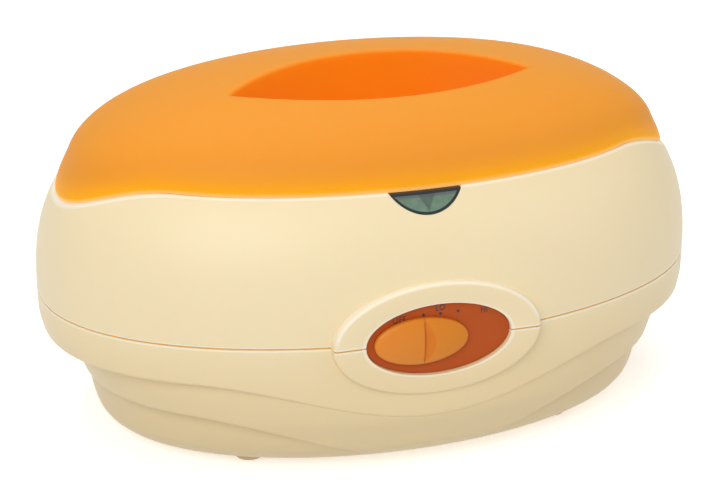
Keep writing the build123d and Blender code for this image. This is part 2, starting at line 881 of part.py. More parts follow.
def make_switch():
    half = switch_width / 2
    body = block(
        (-half, half),
        (switch_front_y, switch_back_y),
        (switch_centre_z - switch_height / 2, switch_centre_z + switch_height / 2),
    )
    slot_half = (knob_travel + lever_size) / 2 + fit_clearance
    slot_rise = lever_size / 2 + fit_clearance
    slot = block(
        (-slot_half, slot_half),
        (switch_front_y - 1, switch_front_y + lever_slot_depth),
        (switch_centre_z - slot_rise, switch_centre_z + slot_rise),
    )
    body = body - slot
    for x in (-blade_spread, 0, blade_spread):
        low = switch_centre_z - switch_height / 2 - blade_length
        blade = block(
            (x - blade_width / 2, x + blade_width / 2),
            (switch_lead_y - blade_thickness / 2, switch_lead_y + blade_thickness / 2),
            (low, low + blade_length + 1),
        )
        body = body + blade
    return body


def make_switch_bracket():
    z = seam_height - post_drop
    high = seam_height - seam_gap
    plate = block(
        (-bracket_half_x, bracket_half_x),
        (switch_back_y, switch_back_y + bracket_thickness),
        (z - bracket_half_z, high),
    )
    for side in (-1, 1):
        hole_radius = small_screw_radius + screw_clearance
        plate = plate - front_rod(hole_radius, switch_back_y - 1, 5, side * post_x, z)
    return plate


def make_switch_screws():
    screws = []
    back = switch_back_y + bracket_thickness
    z = seam_height - post_drop
    for side in (-1, 1):
        head = front_rod(small_head_radius, back, small_head_height, side * post_x, z)
        shank_length = small_screw_length + bracket_thickness
        tip = back - shank_length + touch_gap
        screws.append(head + front_rod(small_screw_radius, tip, shank_length, side * post_x, z))
    return screws


def make_terminal_block():
    low_x = block_x - block_length / 2
    body = block(
        (low_x, low_x + block_length),
        (block_y - block_width / 2, block_y + block_width / 2),
        (floor_top, floor_top + block_height),
    )
    hole_radius = small_screw_radius + screw_clearance
    for x, y in block_screw_places():
        body = body - rod(hole_radius, floor_top + 2, floor_top + block_height + 1, x, y)
    return body


def block_screw_places():
    """Clamp screws of the terminal block: three ways, one screw at each end of a way."""
    places = []
    for way in (-1, 0, 1):
        for end in (-1, 1):
            places.append((block_x + way * block_screw_pitch, block_y + end * block_width / 4))
    return places


def make_terminal_screws():
    low = floor_top + block_height - 6
    top = floor_top + block_height - 0.5
    return [rod(small_screw_radius, low, top, x, y) for x, y in block_screw_places()]


def make_gland():
    back = -knob_front_y
    flange_start = body_half_y + touch_gap
    flange = front_rod(gland_flange, flange_start, back - flange_start, 0, gland_height)
    flange = fillet(flange.edges().group_by(Axis.Y)[-1], 1.2)
    sleeve_start = body_half_y - wall - gland_inner_length
    sleeve = front_rod(gland_body, sleeve_start, back - sleeve_start - 1, 0, gland_height)
    collar_start = body_half_y - wall - touch_gap - gland_collar - 0.3
    collar = front_rod(gland_body + gland_collar, collar_start, gland_collar, 0, gland_height)
    bore = front_rod(gland_bore, sleeve_start - 1, reach_y, 0, gland_height)
    return flange + sleeve + collar - bore


def make_feet():
    feet = []
    standing = (Align.CENTER, Align.CENTER, Align.MIN)
    for x, y in corners(foot_x, foot_y):
        pad = Pos(x, y, 0) * Cone(foot_radius - 1.2, foot_radius, foot_height, align=standing)
        plug = rod(foot_plug_radius, foot_height - 0.5, foot_height + foot_plug_length, x, y)
        feet.append(pad + plug)
    return feet


def make_label():
    half_x = label_length / 2
    half_y = label_width / 2
    return block((-half_x, half_x), (-half_y, half_y), (foot_height - label_thickness, foot_height))


def make_lead_supply():
    """From the terminal block under the shield to the selector switch."""
    points = [
        (block_x + block_screw_pitch, block_front_y, lead_height),
        (block_x + block_screw_pitch, -48, lead_height),
        (block_x + 3 * block_screw_pitch, -84, lead_height + 8),
        (-blade_spread, switch_lead_y + 8, blade_tip_z - 22),
        (-blade_spread, switch_lead_y, blade_tip_z - 10),
        (-blade_spread, switch_lead_y, blade_tip_z - touch_gap),
    ]
    return tube(points, [lead_bend * 2, lead_bend * 2, lead_bend, lead_bend / 1.5], lead_radius)


def make_lead_element():
    """From the selector switch under the shield to the heating element."""
    rise_z = element_height - terminal_radius - touch_gap
    points = [
        (blade_spread, switch_lead_y, blade_tip_z - touch_gap),
        (blade_spread, switch_lead_y, blade_tip_z - 10),
        (blade_spread, switch_lead_y + 8, blade_tip_z - 22),
        (blade_spread + 6, -84, lead_height + 8),
        (element_tail_x, -56, lead_height),
        (element_tail_x, element_tail_y + terminal_length / 2, lead_height),
        (element_tail_x, element_tail_y + terminal_length / 2, rise_z),
    ]
    return tube(points, [lead_bend / 1.5, lead_bend, lead_bend * 2, lead_bend, lead_bend / 2], lead_radius)


def make_lead_thermostat():
    """From the thermostat, above the shield, to the other end of the element."""
    z = thermostat_plate_top - strap_thickness - lead_radius - 1.2
    start_y = blade_width / 2 + touch_gap
    rise_z = element_height - terminal_radius - touch_gap
    points = [
        (-thermostat_radius / 3, start_y, z),
        (-thermostat_radius / 3, fuse_y, z),
        (-element_tail_x, element_half_y, z),
        (-element_tail_x, element_tail_y + terminal_length / 2, z),
        (-element_tail_x, element_tail_y + terminal_length / 2, rise_z),
    ]
    return tube(points, [lead_bend, lead_bend, lead_bend / 3], lead_radius)


def make_lead_lamp(side):
    """From the lamp down through the shelf to the top of the switch."""
    switch_top = switch_centre_z + switch_height / 2 + touch_gap
    lamp_low = seam_height + lamp_rise - touch_gap
    points = [
        (side * lamp_lead_x, lamp_y, lamp_low),
        (side * lamp_lead_x, lamp_y, shelf_height - 8),
        (side * blade_spread / 2, switch_lead_y + 1, switch_top + 16),
        (side * blade_spread / 2, switch_lead_y, switch_top),
    ]
    return tube(points, [lead_bend, lead_bend / 1.5], lead_radius * 0.8)


def save(name, *solids):
    """Write one node's solids to its own file."""
    shape = solids[0] if len(solids) == 1 else Compound(children=list(solids))
    export_step(shape, os.path.join("parts", name + ".step"))


os.makedirs("parts", exist_ok=True)
save("lid", make_lid())
save("upper_housing", make_upper_housing())
save("lower_housing", make_lower_housing())
save("seam_seal", make_seam_seal())
save("housing_screws", *make_housing_screws())
save("rubber_feet", *make_feet())
save("blank_label", make_label())
save("cord_gland", make_gland())
save("lens_bezel", make_bezel())
save("indicator_lens", make_lens())
save("indicator_lamp", make_lamp())
save("lamp_holder", make_lamp_holder())
save("control_plate", make_control_plate())
save("slider_knob", make_knob())
save("slider_carrier", make_carrier())
save("switch_lever", make_lever())
save("selector_switch", make_switch())
save("switch_bracket", make_switch_bracket())
save("switch_screws", *make_switch_screws())
save("tub", make_tub())
save("tub_gasket", make_gasket())
save("tub_guard", make_guard())
save("tub_brackets", *make_tub_brackets())
save("bracket_screws", *make_bracket_screws())
save("insulation_wrap", make_blanket())
save("heating_element", make_element())
save("element_terminals", *make_element_terminals())
save("element_straps", *make_straps())
save("stud_nuts", *make_nuts())
save("thermostat", make_thermostat())
save("thermostat_plate", make_thermostat_plate())
save("thermal_fuse", make_fuse())
save("fuse_block", make_fuse_block())
save("heat_shield", make_shield())
save("shield_screws", *make_shield_screws())
save("terminal_block", make_terminal_block())
save("terminal_screws", *make_terminal_screws())
save("lead_supply", make_lead_supply())
save("lead_element", make_lead_element())
save("lead_thermostat", make_lead_thermostat())
save("lead_lamp_left", make_lead_lamp(-1))
save("lead_lamp_right", make_lead_lamp(1))
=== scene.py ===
import math

import bmesh
import bpy
import numpy as np
from bpy.props import FloatProperty, FloatVectorProperty, PointerProperty
from mathutils import Matrix, Vector


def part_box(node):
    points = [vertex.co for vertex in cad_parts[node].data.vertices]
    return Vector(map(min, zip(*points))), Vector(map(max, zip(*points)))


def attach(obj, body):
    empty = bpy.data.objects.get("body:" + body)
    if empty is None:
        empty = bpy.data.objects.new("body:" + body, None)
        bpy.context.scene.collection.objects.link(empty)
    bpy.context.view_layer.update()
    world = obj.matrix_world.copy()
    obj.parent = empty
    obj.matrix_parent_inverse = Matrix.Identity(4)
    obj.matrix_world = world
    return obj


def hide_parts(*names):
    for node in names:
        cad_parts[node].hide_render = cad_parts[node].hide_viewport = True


bl_info = {
    "name": "Paraffin bath",
    "version": (1, 0, 0),
    "blender": (4, 5, 0),
    "location": "3D View > Sidebar > Bath",
    "description": "Builds the look of an oval paraffin bath around its packed solids",
    "category": "Object",
}

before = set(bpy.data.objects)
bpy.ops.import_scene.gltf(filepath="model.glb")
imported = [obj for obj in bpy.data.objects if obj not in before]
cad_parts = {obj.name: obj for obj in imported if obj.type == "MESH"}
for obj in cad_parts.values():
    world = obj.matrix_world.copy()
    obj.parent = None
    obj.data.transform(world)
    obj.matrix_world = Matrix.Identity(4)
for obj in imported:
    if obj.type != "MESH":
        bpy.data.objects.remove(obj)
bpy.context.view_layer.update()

# A millimetre, and a reach past the whole object for blocks that cut, in metres
MM = 0.001
REACH = 0.2

# How often the rim and the draped edges are worked out again from where they come to lie
RIM_ROUNDS = 12
EDGE_ROUNDS = 30

# Exponents of the body's oval, of the casing's lean, and of the dome's rise and plan
OVAL_POWER = 2.2
SIDE_POWER = 2.7
DOME_POWER = 2.3
DOME_PLAN_POWER = 2.136

# Softening of the lid's crease at the rim's height, as shares of the dip, and the dip's added width
CREASE_WIDTH = 0.42
CREASE_FADE = 2.2
CREASE_LEAST = 1e-6

# Small fixed sizes of the panel, in metres
PLATE_DEPTH = 0.0027
KNOB_GAP = 0.0003
KNOB_EDGE = 0.0006
GROOVE_LIP = 0.0004
PRINT_LIFT = 0.00006
PRINT_HALF = 0.00005

# Small fixed sizes of the casing and the lid, in metres
INNER_ROUND = 0.0004
LAYER_TOP = 0.006
SCREW_HOLE = 0.0039
SCREW_EDGE = 0.0036
SEAL_OVERLAP = 0.0001
SEAL_OUTER = 0.0007
SEAL_INNER = 0.0005
SEAL_RUN_GAP = 0.0006
SEAL_CUT = 0.0004
SCOOP_FLOOR_ROUND = 0.010

# Distances over which the finishes fade, in metres
EDGE_FADE = 0.0012
GRAIN_BUMP = 0.0002

# Each printed word and dot with its place from the panel's middle, in metres
WORDS = (("OFF", -0.0218, 0.0127), ("LO", 0.0010, 0.0170), ("HI", 0.0257, 0.0126))
DOTS = ((-0.0083, 0.0140), (0.0012, 0.0137), (0.0110, 0.0138))

# Size of the type for a height of its capitals, its narrowing and its spacing
TYPE_SIZE = 1.38
TYPE_WIDTH = 0.78
TYPE_SPACING = 1.08

# Name, place, size, power and colour of each light
LIGHTS = (
    ("key", (-1.0, -1.5, 1.3), 1.4, 20, (1.0, 0.985, 0.96)),
    ("fill", (1.7, -1.1, 0.9), 1.8, 5.5, (1.0, 0.98, 0.94)),
    ("top", (0.0, 0.5, 2.2), 2.2, 16, (1.0, 1.0, 1.0)),
)
LIGHTS_AIM = (0, 0, 0.09)


def length(name, description, default):
    """A size in metres that the sidebar shows."""
    return FloatProperty(name=name, description=description, default=default, unit="LENGTH", precision=5)


def number(name, description, default):
    """A plain number that the sidebar shows."""
    return FloatProperty(name=name, description=description, default=default)


def colour(name, description, default):
    """A plain colour that the sidebar shows."""
    return FloatVectorProperty(
        name=name, description=description, default=default, subtype="COLOR", size=3, min=0, max=1
    )


class CasingSizes(bpy.types.PropertyGroup):
    """Sizes of the two casing shells."""

    half_length: length("Half length", "Half of the body's length at the seam", 0.190)
    half_width: length("Half width", "Half of the body's width at the seam", 0.123)
    seam: length("Seam height", "Height of the seam between the shells", 0.081)
    seam_gap: length("Seam gap", "Width of the gap at the seam", 0.0008)
    rim_rise: length("Rim rise", "Rim's height above the seam", 0.0752)
    lean_length: length("Lean along", "How far the ends lean in up to the rim", 0.0241)
    lean_width: length("Lean across", "How far the sides lean in up to the rim", 0.0237)
    wall: length("Wall", "Wall thickness of the shells", 0.0028)
    rim_round: length("Rim round", "Rounding of the rim's outer edge", 0.0014)
    seam_round: length("Seam round", "Rounding of the edges at the seam", 0.0005)
    dip_start: length("Dip start", "Where the rim starts to dip towards the ends", 0.125)
    dip_end: length("Dip end", "Where the dip has its full depth", 0.178)
    dip_depth: length("Dip depth", "How far the rim dips at the ends", 0.018)
    shelf_rise: length("Shelf rise", "Underside of the shelf above the seam", 0.0505)
    shelf_depth: length("Shelf depth", "Thickness of the shelf", 0.0025)
    opening_length: length("Opening along", "Half length of the shelf's opening", 0.152)
    opening_width: length("Opening across", "Half width of the shelf's opening", 0.090)
    window_chord: length("Window chord", "Width of the lamp window at the rim", 0.041)
    window_drop: length("Window drop", "Height of the lamp window", 0.0112)


class BaseSizes(bpy.types.PropertyGroup):
    """Sizes of the draped layers under the seam."""

    depth: length("Depth", "Depth of the lower shell below the seam", 0.078)
    swag_half: length("Swag half", "Half width of the draped edges", 0.130)
    skirt_depth: length("Skirt depth", "Depth of the skirt's edge at the sides", 0.023)
    skirt_drop: length("Skirt drop", "How far the skirt's edge sags in front", 0.023)
    middle_depth: length("Middle depth", "Depth of the middle layer's edge at the sides", 0.0455)
    middle_drop: length("Middle drop", "How far the middle layer's edge sags", 0.0295)
    middle_forward: length("Middle forward", "How far the middle layer stands forward", 0.004)
    skirt_round: length("Skirt round", "Rounding of the skirt's lower edge", 0.0026)
    middle_round: length("Middle round", "Rounding of the middle layer's lower edge", 0.0022)


class LidSizes(bpy.types.PropertyGroup):
    """Sizes of the frosted lid."""

    dome_rise: length("Dome rise", "Top of the lid above the rim", 0.0468)
    edge_share: number("Edge share", "How far the dome follows its edge", 0.62)
    inset: length("Inset", "How far the lid's edge stands in from the casing", 0.0008)
    wall: length("Wall", "Thickness of the lid", 0.0028)
    gap: length("Gap", "Gap between lid and rim", 0.0003)
    edge_round: length("Edge round", "Rounding of the lid's lower edge", 0.0009)
    lip_inset: length("Lip inset", "Where the locating lip stands", 0.0033)
    lip_wall: length("Lip wall", "Thickness of the locating lip", 0.0017)
    lip_depth: length("Lip depth", "How far the lip reaches into the rim", 0.004)
    scoop_centre: length("Scoop centre", "Distance of the grip scoop from the middle", -0.027)
    scoop_length: length("Scoop length", "Half length of the scoop at the top", 0.093)
    scoop_width: length("Scoop width", "Half width of the scoop at the top", 0.035)
    scoop_floor_length: length("Floor length", "Half length of the scoop's floor", 0.064)
    scoop_floor_width: length("Floor width", "Half width of the scoop's floor", 0.013)
    scoop_depth: length("Scoop depth", "Depth of the scoop below the dome's top", 0.033)
    scoop_round: length("Scoop round", "Softness of the scoop's rim", 0.0042)


class PanelSizes(bpy.types.PropertyGroup):
    """Sizes of the oval control panel and its selector."""

    half_length: length("Half length", "Half length of the raised oval", 0.058)
    half_height: length("Half height", "Half height of the raised oval", 0.0315)
    proud: length("Proud", "How far the oval stands out of the body", 0.0013)
    depth: length("Depth", "Depth of the oval behind its face", 0.014)
    edge_round: length("Edge round", "Rounding of the oval's outer edge", 0.0022)
    window_length: length("Window length", "Half length of the opening", 0.0405)
    window_height: length("Window height", "Half height of the opening", 0.020)
    window_depth: length("Window depth", "Depth of the opening to its seat", 0.0051)
    window_round: length("Window round", "Rounding of the opening's edge", 0.0006)
    seat: length("Seat", "Width of the seat behind the opening", 0.0035)
    knob_length: length("Knob length", "Half length of the knob", 0.026)
    knob_height: length("Knob height", "Half height of the knob", 0.013)
    knob_skirt: length("Knob skirt", "Straight side of the knob", 0.0018)
    knob_dome: length("Knob dome", "Rise of the knob's dome", 0.0034)
    knob_shift: length("Knob shift", "Where the knob rests, at OFF", -0.0098)
    groove_shift: length("Groove shift", "Thumb groove's steep side from the knob's middle", 0.001)
    groove_width: length("Groove width", "Width of the thumb groove", 0.005)
    groove_depth: length("Groove depth", "Depth of the thumb groove", 0.0022)
    letter_height: length("Letter height", "Height of the printed letters", 0.0038)
    dot_radius: length("Dot radius", "Radius of the printed dots", 0.0008)


class Colours(bpy.types.PropertyGroup):
    """Colours of the visible finishes, and of the painted light and shade on them."""

    lid: colour("Lid", "Frosted amber of the lid", (0.90, 0.33, 0.036))
    # Lid edge glow: painted light, the saturated amber of light through the lid near its lower edge.
    lid_edge_glow: colour("Lid edge", "Saturated amber near the lid's lower edge", (0.95, 0.40, 0.008))
    # Lid scoop shade: painted shade, deeper orange where the scoop is sunk in.
    lid_scoop_shade: colour("Lid scoop", "Deep orange in the scoop", (0.88, 0.196, 0.0))
    casing: colour("Casing", "Cream of the casing", (0.89, 0.742, 0.475))
    # Casing foot shade: painted shade, the cream made deeper and warmer towards the foot.
    casing_foot_shade: colour("Casing low", "Deeper cream at the casing's foot", (0.765, 0.580, 0.305))
    # Casing edge highlight: a painted highlight along the rim, the seam and the panel's edges.
    casing_edge_highlight: colour("Casing line", "Light line along the casing's edges", (0.97, 0.93, 0.84))
    # Seam: painted shade, the golden colour of the shaded gap at the seam.
    seam: colour("Seam", "Golden brown of the seam line", (0.84, 0.43, 0.06))
    plate: colour("Plate", "Brown of the control plate", (0.46, 0.080, 0.010))
    knob: colour("Knob", "Orange of the knob", (0.72, 0.23, 0.022))
    lens: colour("Lens", "Grey green of the lamp window", (0.134, 0.214, 0.152))
    print_ink: colour("Print", "Ink of the printed marks", (0.02, 0.02, 0.035))


class StageSizes(bpy.types.PropertyGroup):
    """Camera, floor and surroundings."""

    distance: length("Distance", "Camera's distance from the seam's centre", 1.2)
    turn: number("Turn", "Degrees that the camera stands left of the front", 18.09)
    height: number("Height", "Degrees that the camera stands above the seam's plane", 21.6)
    focus: number("Focal length", "Focal length in millimetres", 103.59)
    shift_right: number("Shift right", "Shift of the picture, in picture widths", -6.5 / 720)
    shift_up: number("Shift up", "Shift of the picture, in picture widths", 7.76 / 720)
    floor_half: length("Floor half", "Half length of the floor", 6.0)
    floor_glow: number("Floor glow", "Light added to the pale floor", 0.42)
    sky: number("Sky", "Brightness of the surroundings", 0.5)
    sky_low: number("Sky low", "Brightness under the horizon", 0.74)


GROUPS = {
    "bath_casing": CasingSizes,
    "bath_base": BaseSizes,
    "bath_lid": LidSizes,
    "bath_panel": PanelSizes,
    "bath_colours": Colours,
    "bath_stage": StageSizes,
}


# Forms


def sizes(name):
    """One of the scene's groups of sizes."""
    return getattr(bpy.context.scene, "bath_" + name)


def around(count):
    """Angles of a closed ring, starting at the right-hand end."""
    return np.arange(count) * 2 * math.pi / count


def oval(half_x, half_y, angles):
    """Points of the body's oval: an ellipse with slightly fuller corners."""
    sine = np.sin(angles)
    return half_x * np.cos(angles), half_y * np.sign(sine) * np.abs(sine) ** (2 / OVAL_POWER)


def ring(x, y, z):
    """One ring of points from its coordinates."""
    return np.stack(np.broadcast_arrays(x, y, z), axis=-1).astype(float)


def quarter(radius, count):
    """Steps of a rounded edge: how far each has gone along it, and how far it still is from its side."""
    turns = np.linspace(0, math.pi / 2, count)
    return [(radius * (1 - math.cos(turn)), radius * (1 - math.sin(turn))) for turn in turns]


def shown(name, data):
    """A new object in the scene."""
    piece = bpy.data.objects.new(name, data)
    bpy.context.scene.collection.objects.link(piece)
    return piece


def skin(name, rows, ends="points", marks=None):
    """A closed mesh through rings of points. Its ends are closed by a middle point each, or joined."""
    rows = [np.asarray(row, float) for row in rows]
    count = len(rows[0])
    points = np.concatenate(rows)
    faces = []
    step = np.arange(count)
    following = (step + 1) % count
    pairs = [(k, k + 1) for k in range(len(rows) - 1)]
    if ends == "loop":
        pairs.append((len(rows) - 1, 0))
    for low, high in pairs:
        below, above = low * count, high * count
        quads = np.stack([below + step, below + following, above + following, above + step])
        faces += quads.T.tolist()
    if ends == "points":
        middle = len(points)
        points = np.concatenate([points, [rows[0].mean(axis=0)], [rows[-1].mean(axis=0)]])
        last = (len(rows) - 1) * count
        faces += [[middle, b, a] for a, b in zip(step.tolist(), following.tolist())]
        faces += [[middle + 1, last + a, last + b] for a, b in zip(step.tolist(), following.tolist())]
    mesh = bpy.data.meshes.new(name)
    mesh.from_pydata(points.tolist(), [], faces)
    for label, values in (marks or {}).items():
        layer = mesh.attributes.new(label, "FLOAT", "POINT")
        layer.data.foreach_set("value", np.asarray(values, np.float32))
    piece = shown(name, mesh)
    outward(piece)
    return piece


def outward(piece):
    """Turns a closed mesh's faces outwards."""
    shape = bmesh.new()
    shape.from_mesh(piece.data)
    bmesh.ops.recalc_face_normals(shape, faces=shape.faces)
    shape.to_mesh(piece.data)
    shape.free()


def smooth(piece, sharp_angle=35):
    """Smooth shading with sharp edges above an angle."""
    mesh = piece.data
    mesh.polygons.foreach_set("use_smooth", [True] * len(mesh.polygons))
    mesh.set_sharp_from_angle(angle=math.radians(sharp_angle))
    mesh.update()


def settled_mesh(piece):
    """A mesh of what a piece looks like with its modifiers."""
    return bpy.data.meshes.new_from_object(piece.evaluated_get(bpy.context.evaluated_depsgraph_get()))


def carve(piece, other, operation):
    """Joins, cuts or keeps what two closed meshes share, and removes the other."""
    modifier = piece.modifiers.new("carve", "BOOLEAN")
    modifier.operation = operation
    modifier.solver = "MANIFOLD"
    modifier.object = other
    settled = settled_mesh(piece)
    piece.modifiers.remove(modifier)
    if not settled.polygons:
        raise RuntimeError(f"{piece.name} was lost while {other.name} was used on it")
    former = piece.data
    piece.data = settled
    bpy.data.meshes.remove(former)
    bpy.data.objects.remove(other)
    return piece


def box(name, x, y, z):
    """A closed block between ranges, used to cut other meshes."""
    corners = [(x[0], z[0]), (x[1], z[0]), (x[1], z[1]), (x[0], z[1])]
    rows = [[(cx, depth, cz) for cx, cz in corners] for depth in y]
    return skin(name, rows)


def upright_oval(name, half_x, half_z, profile):
    """A closed oval solid that faces the front, from rows of margin and depth."""
    seam = sizes("casing").seam
    angles = around(256)
    rows = []
    for margin, y in profile:
        x = (half_x + margin) * np.cos(angles)
        z = seam + (half_z + margin) * np.sin(angles)
        rows.append(ring(x, y, z))
    return skin(name, rows)


def upright_disc(name, radius, x, y, low, high):
    """A closed upright cylinder, used to cut holes."""
    angles = around(48)
    round_x = x + radius * np.cos(angles)
    round_y = y + radius * np.sin(angles)
    return skin(name, [ring(round_x, round_y, z) for z in (low, high)])


def casing_halves(rise, inset):
    """Half length and half width of the upper shell at a rise above the seam."""
    casing = sizes("casing")
    share = (np.clip(rise, 0, None) / casing.rim_rise) ** SIDE_POWER
    half_x = casing.half_length - casing.lean_length * share - inset
    half_y = casing.half_width - casing.lean_width * share - inset
    return half_x, half_y


def rim_dip(x):
    """How far the rim lies below its front height."""
    casing = sizes("casing")
    beyond = np.clip(np.abs(x) - casing.dip_start, 0, None)
    return casing.dip_depth * (beyond / (casing.dip_end - casing.dip_start)) ** 2


def rim_line(angles, inset):
    """Rise of the wavy rim above the seam at each angle."""
    casing = sizes("casing")
    rise = np.full(len(angles), casing.rim_rise)
    for _ in range(RIM_ROUNDS):
        x = casing_halves(rise, inset)[0] * np.cos(angles)
        rise = casing.rim_rise - rim_dip(x)
    return rise


def casing_ring(angles, rise, inset):
    """A ring of the upper shell's form."""
    half_x, half_y = casing_halves(rise, inset)
    x, y = oval(half_x, half_y, angles)
    return ring(x, y, sizes("casing").seam + rise)


def rim_level():
    """Height of the rim above the floor, away from its dips."""
    return sizes("casing").seam + sizes("casing").rim_rise


def panel_front():
    """Where the control panel's face lies."""
    return -(sizes("casing").half_width + sizes("panel").proud)


def panel_block(upper):
    """The raised oval's upper or lower half, with a rounded front edge."""
    casing, panel = sizes("casing"), sizes("panel")
    front = panel_front()
    radius = panel.edge_round
    profile = [(0, front + panel.depth)]
    for gone, left in quarter(radius, 8):
        profile.append((-gone, front + left))
    profile.append((-radius * 3, front))
    piece = upright_oval("panel_block", panel.half_length, panel.half_height, profile)
    edge = casing.seam + casing.seam_gap / 2 if upper else casing.seam - casing.seam_gap / 2
    span = (edge - REACH, edge) if upper else (edge, edge + REACH)
    return carve(piece, box("half", (-REACH, REACH), (-REACH, REACH), span), "DIFFERENCE")


def panel_window():
    """The space of the panel's opening, with a rounded front edge and a wider seat behind."""
    panel = sizes("panel")
    front = panel_front()
    radius = panel.window_round
    clear_of_front = 0.002
    profile = [(radius, front - clear_of_front)]
    for gone, left in quarter(radius, 5):
        profile.append((left, front + gone))
    seat = front + panel.window_depth
    profile += [(0, seat), (panel.seat, seat), (panel.seat, front + panel.depth * 2)]
    return upright_oval("panel_window", panel.window_length, panel.window_height, profile)


def lamp_window():
    """The half-round space of the lamp window."""
    casing = sizes("casing")
    chord, drop = casing.window_chord, casing.window_drop
    radius = ((chord / 2) ** 2 + drop ** 2) / (2 * drop)
    reach = math.asin(chord / 2 / radius)
    top = rim_level()
    above, outside, inside = top + 0.005, -0.15, -0.06
    outline = [(-chord / 2, above)]
    for turn in np.linspace(-reach, reach, 48):
        outline.append((radius * math.sin(turn), top - drop + radius * (1 - math.cos(turn))))
    outline.append((chord / 2, above))
    rows = [[(x, y, z) for x, z in outline] for y in (outside, inside)]
    return skin("lamp_window", rows)


def upper_casing(name):
    """The upper shell with its wavy rim, the shelf round the tub and the panel's upper half."""
    casing = sizes("casing")
    angles = around(512)
    rim = rim_line(angles, 0)
    low = casing.seam_gap / 2
    small, large = casing.seam_round, casing.rim_round
    rows = []
    for gone, left in quarter(small, 4):
        rows.append(casing_ring(angles, low + gone, left))
    for share in np.linspace(0, 1, 30)[1:-1]:
        rows.append(casing_ring(angles, low + small + (rim - large - low - small) * share, 0))
    for gone, left in quarter(large, 7):
        rows.append(casing_ring(angles, rim - left, gone * 0.75))
    inner_rim = rim_line(angles, casing.wall)
    for gone, left in quarter(INNER_ROUND, 3):
        rows.append(casing_ring(angles, inner_rim - gone, casing.wall - left))
    shelf_top = casing.shelf_rise + casing.shelf_depth
    for share in np.linspace(0, 1, 6)[1:]:
        rows.append(casing_ring(angles, inner_rim + (shelf_top - inner_rim) * share, casing.wall))
    for rise in (shelf_top, casing.shelf_rise):
        x, y = oval(casing.opening_length, casing.opening_width, angles)
        rows.append(ring(x, y, casing.seam + rise))
    for share in np.linspace(0, 1, 12):
        rows.append(casing_ring(angles, casing.shelf_rise + (low - casing.shelf_rise) * share, casing.wall))
    piece = skin(name, rows, "loop")
    carve(piece, panel_block(True), "UNION")
    carve(piece, panel_window(), "DIFFERENCE")
    carve(piece, lamp_window(), "DIFFERENCE")
    smooth(piece)
    return piece


def through(depths, values, at):
    """A smooth curve through a layer's sections that doesn't overshoot."""
    depths, values = np.asarray(depths, float), np.asarray(values, float)
    spans = np.diff(depths)
    slopes = np.diff(values) / spans
    bends = np.zeros(len(values))
    for k in range(1, len(slopes)):
        if slopes[k - 1] * slopes[k] > 0:
            first = 2 * spans[k] + spans[k - 1]
            second = spans[k] + 2 * spans[k - 1]
            bends[k] = (first + second) / (first / slopes[k - 1] + second / slopes[k])
    bends[0], bends[-1] = slopes[0], slopes[-1]
    at = np.clip(at, depths[0], depths[-1])
    k = np.clip(np.searchsorted(depths, at, side="right") - 1, 0, len(spans) - 1)
    t = (at - depths[k]) / spans[k]
    start = (1 + 2 * t) * (1 - t) ** 2 * values[k] + t ** 2 * (3 - 2 * t) * values[k + 1]
    return start + spans[k] * (t * (1 - t) ** 2 * bends[k] - t ** 2 * (1 - t) * bends[k + 1])


# Depth below the seam and inset along and across, in millimetres
SKIRT = ((-2, 0, 0), (0, 0, 0), (10, 0.2, 0), (20, 2, 0), (30, 7, 0.3), (40, 13, 0.8), (50, 18, 1.6))
MIDDLE = ((-2, 13, 5.5), (14, 15, 5.5), (30, 18, 5.5), (45, 23, 6.5))
MIDDLE += ((57, 27, 11.4), (67, 31, 16), (78, 45, 32))
BOTTOM = ((-2, 20, 7), (20, 23, 8), (38, 25.5, 9), (55, 27.5, 10))
BOTTOM += ((67, 30, 14), (74, 35, 20.5), (78, 43, 30.5))


def fall(x, drop):
    """How far a draped edge sags at a place along the front."""
    half = sizes("base").swag_half
    return np.where(np.abs(x) < half, drop * (1 + np.cos(math.pi * x / half)) / 2, 0)


def bowl(name, sections, inset, top, edge_depth, drop, rounding, forward=0.0):
    """One draped layer as a closed bowl whose lower edge follows the sagging line."""
    casing = sizes("casing")
    angles = around(400)
    depths = [section[0] * MM for section in sections]
    insets_x = [section[1] * MM for section in sections]
    insets_y = [section[2] * MM for section in sections]

    def layer_ring(depth, extra):
        half_x = casing.half_length - through(depths, insets_x, depth) - inset - extra
        half_y = casing.half_width - through(depths, insets_y, depth) - inset - extra
        x, y = oval(half_x, half_y, angles)
        return ring(x, y - forward, casing.seam - depth)

    edge = np.full(len(angles), edge_depth + drop)
    for _ in range(EDGE_ROUNDS):
        edge = 0.5 * edge + 0.5 * (edge_depth + fall(layer_ring(edge, rounding / 2)[:, 0], drop))
    rows = []
    if rounding:
        small = casing.seam_round
        for gone, left in quarter(small, 4):
            rows.append(layer_ring(-top + gone, left))
    else:
        rows.append(layer_ring(np.full(len(angles), -top), 0))
    start = -rows[-1][0, 2] + casing.seam
    for share in np.linspace(0, 1, 24)[1:-1]:
        rows.append(layer_ring(start + (edge - rounding - start) * share, 0))
    for gone, left in quarter(rounding, 7 if rounding else 2):
        rows.append(layer_ring(edge - left, gone))
    outer = rows[-1]
    for share in np.linspace(1, 0, 26)[1:-1]:
        x = outer[:, 0] * share
        y = outer[:, 1] * share - forward * (1 - share)
        rows.append(ring(x, y, casing.seam - edge_depth - fall(x, drop)))
    return skin(name, rows)


def draped_form(name, inset, top, rounded):
    """The three layers joined, or a smaller copy of them."""
    base = sizes("base")
    skirt_round = base.skirt_round if rounded else 0
    middle_round = base.middle_round if rounded else 0
    piece = bowl(name, SKIRT, inset, top, base.skirt_depth - inset, base.skirt_drop, skirt_round)
    middle_edge = base.middle_depth - inset
    forward = base.middle_forward
    middle = bowl("middle", MIDDLE, inset, -LAYER_TOP, middle_edge, base.middle_drop, middle_round, forward)
    carve(piece, middle, "UNION")
    bottom = bowl("bottom", BOTTOM, inset, -LAYER_TOP, base.depth - inset, 0, 0)
    return carve(piece, bottom, "UNION")


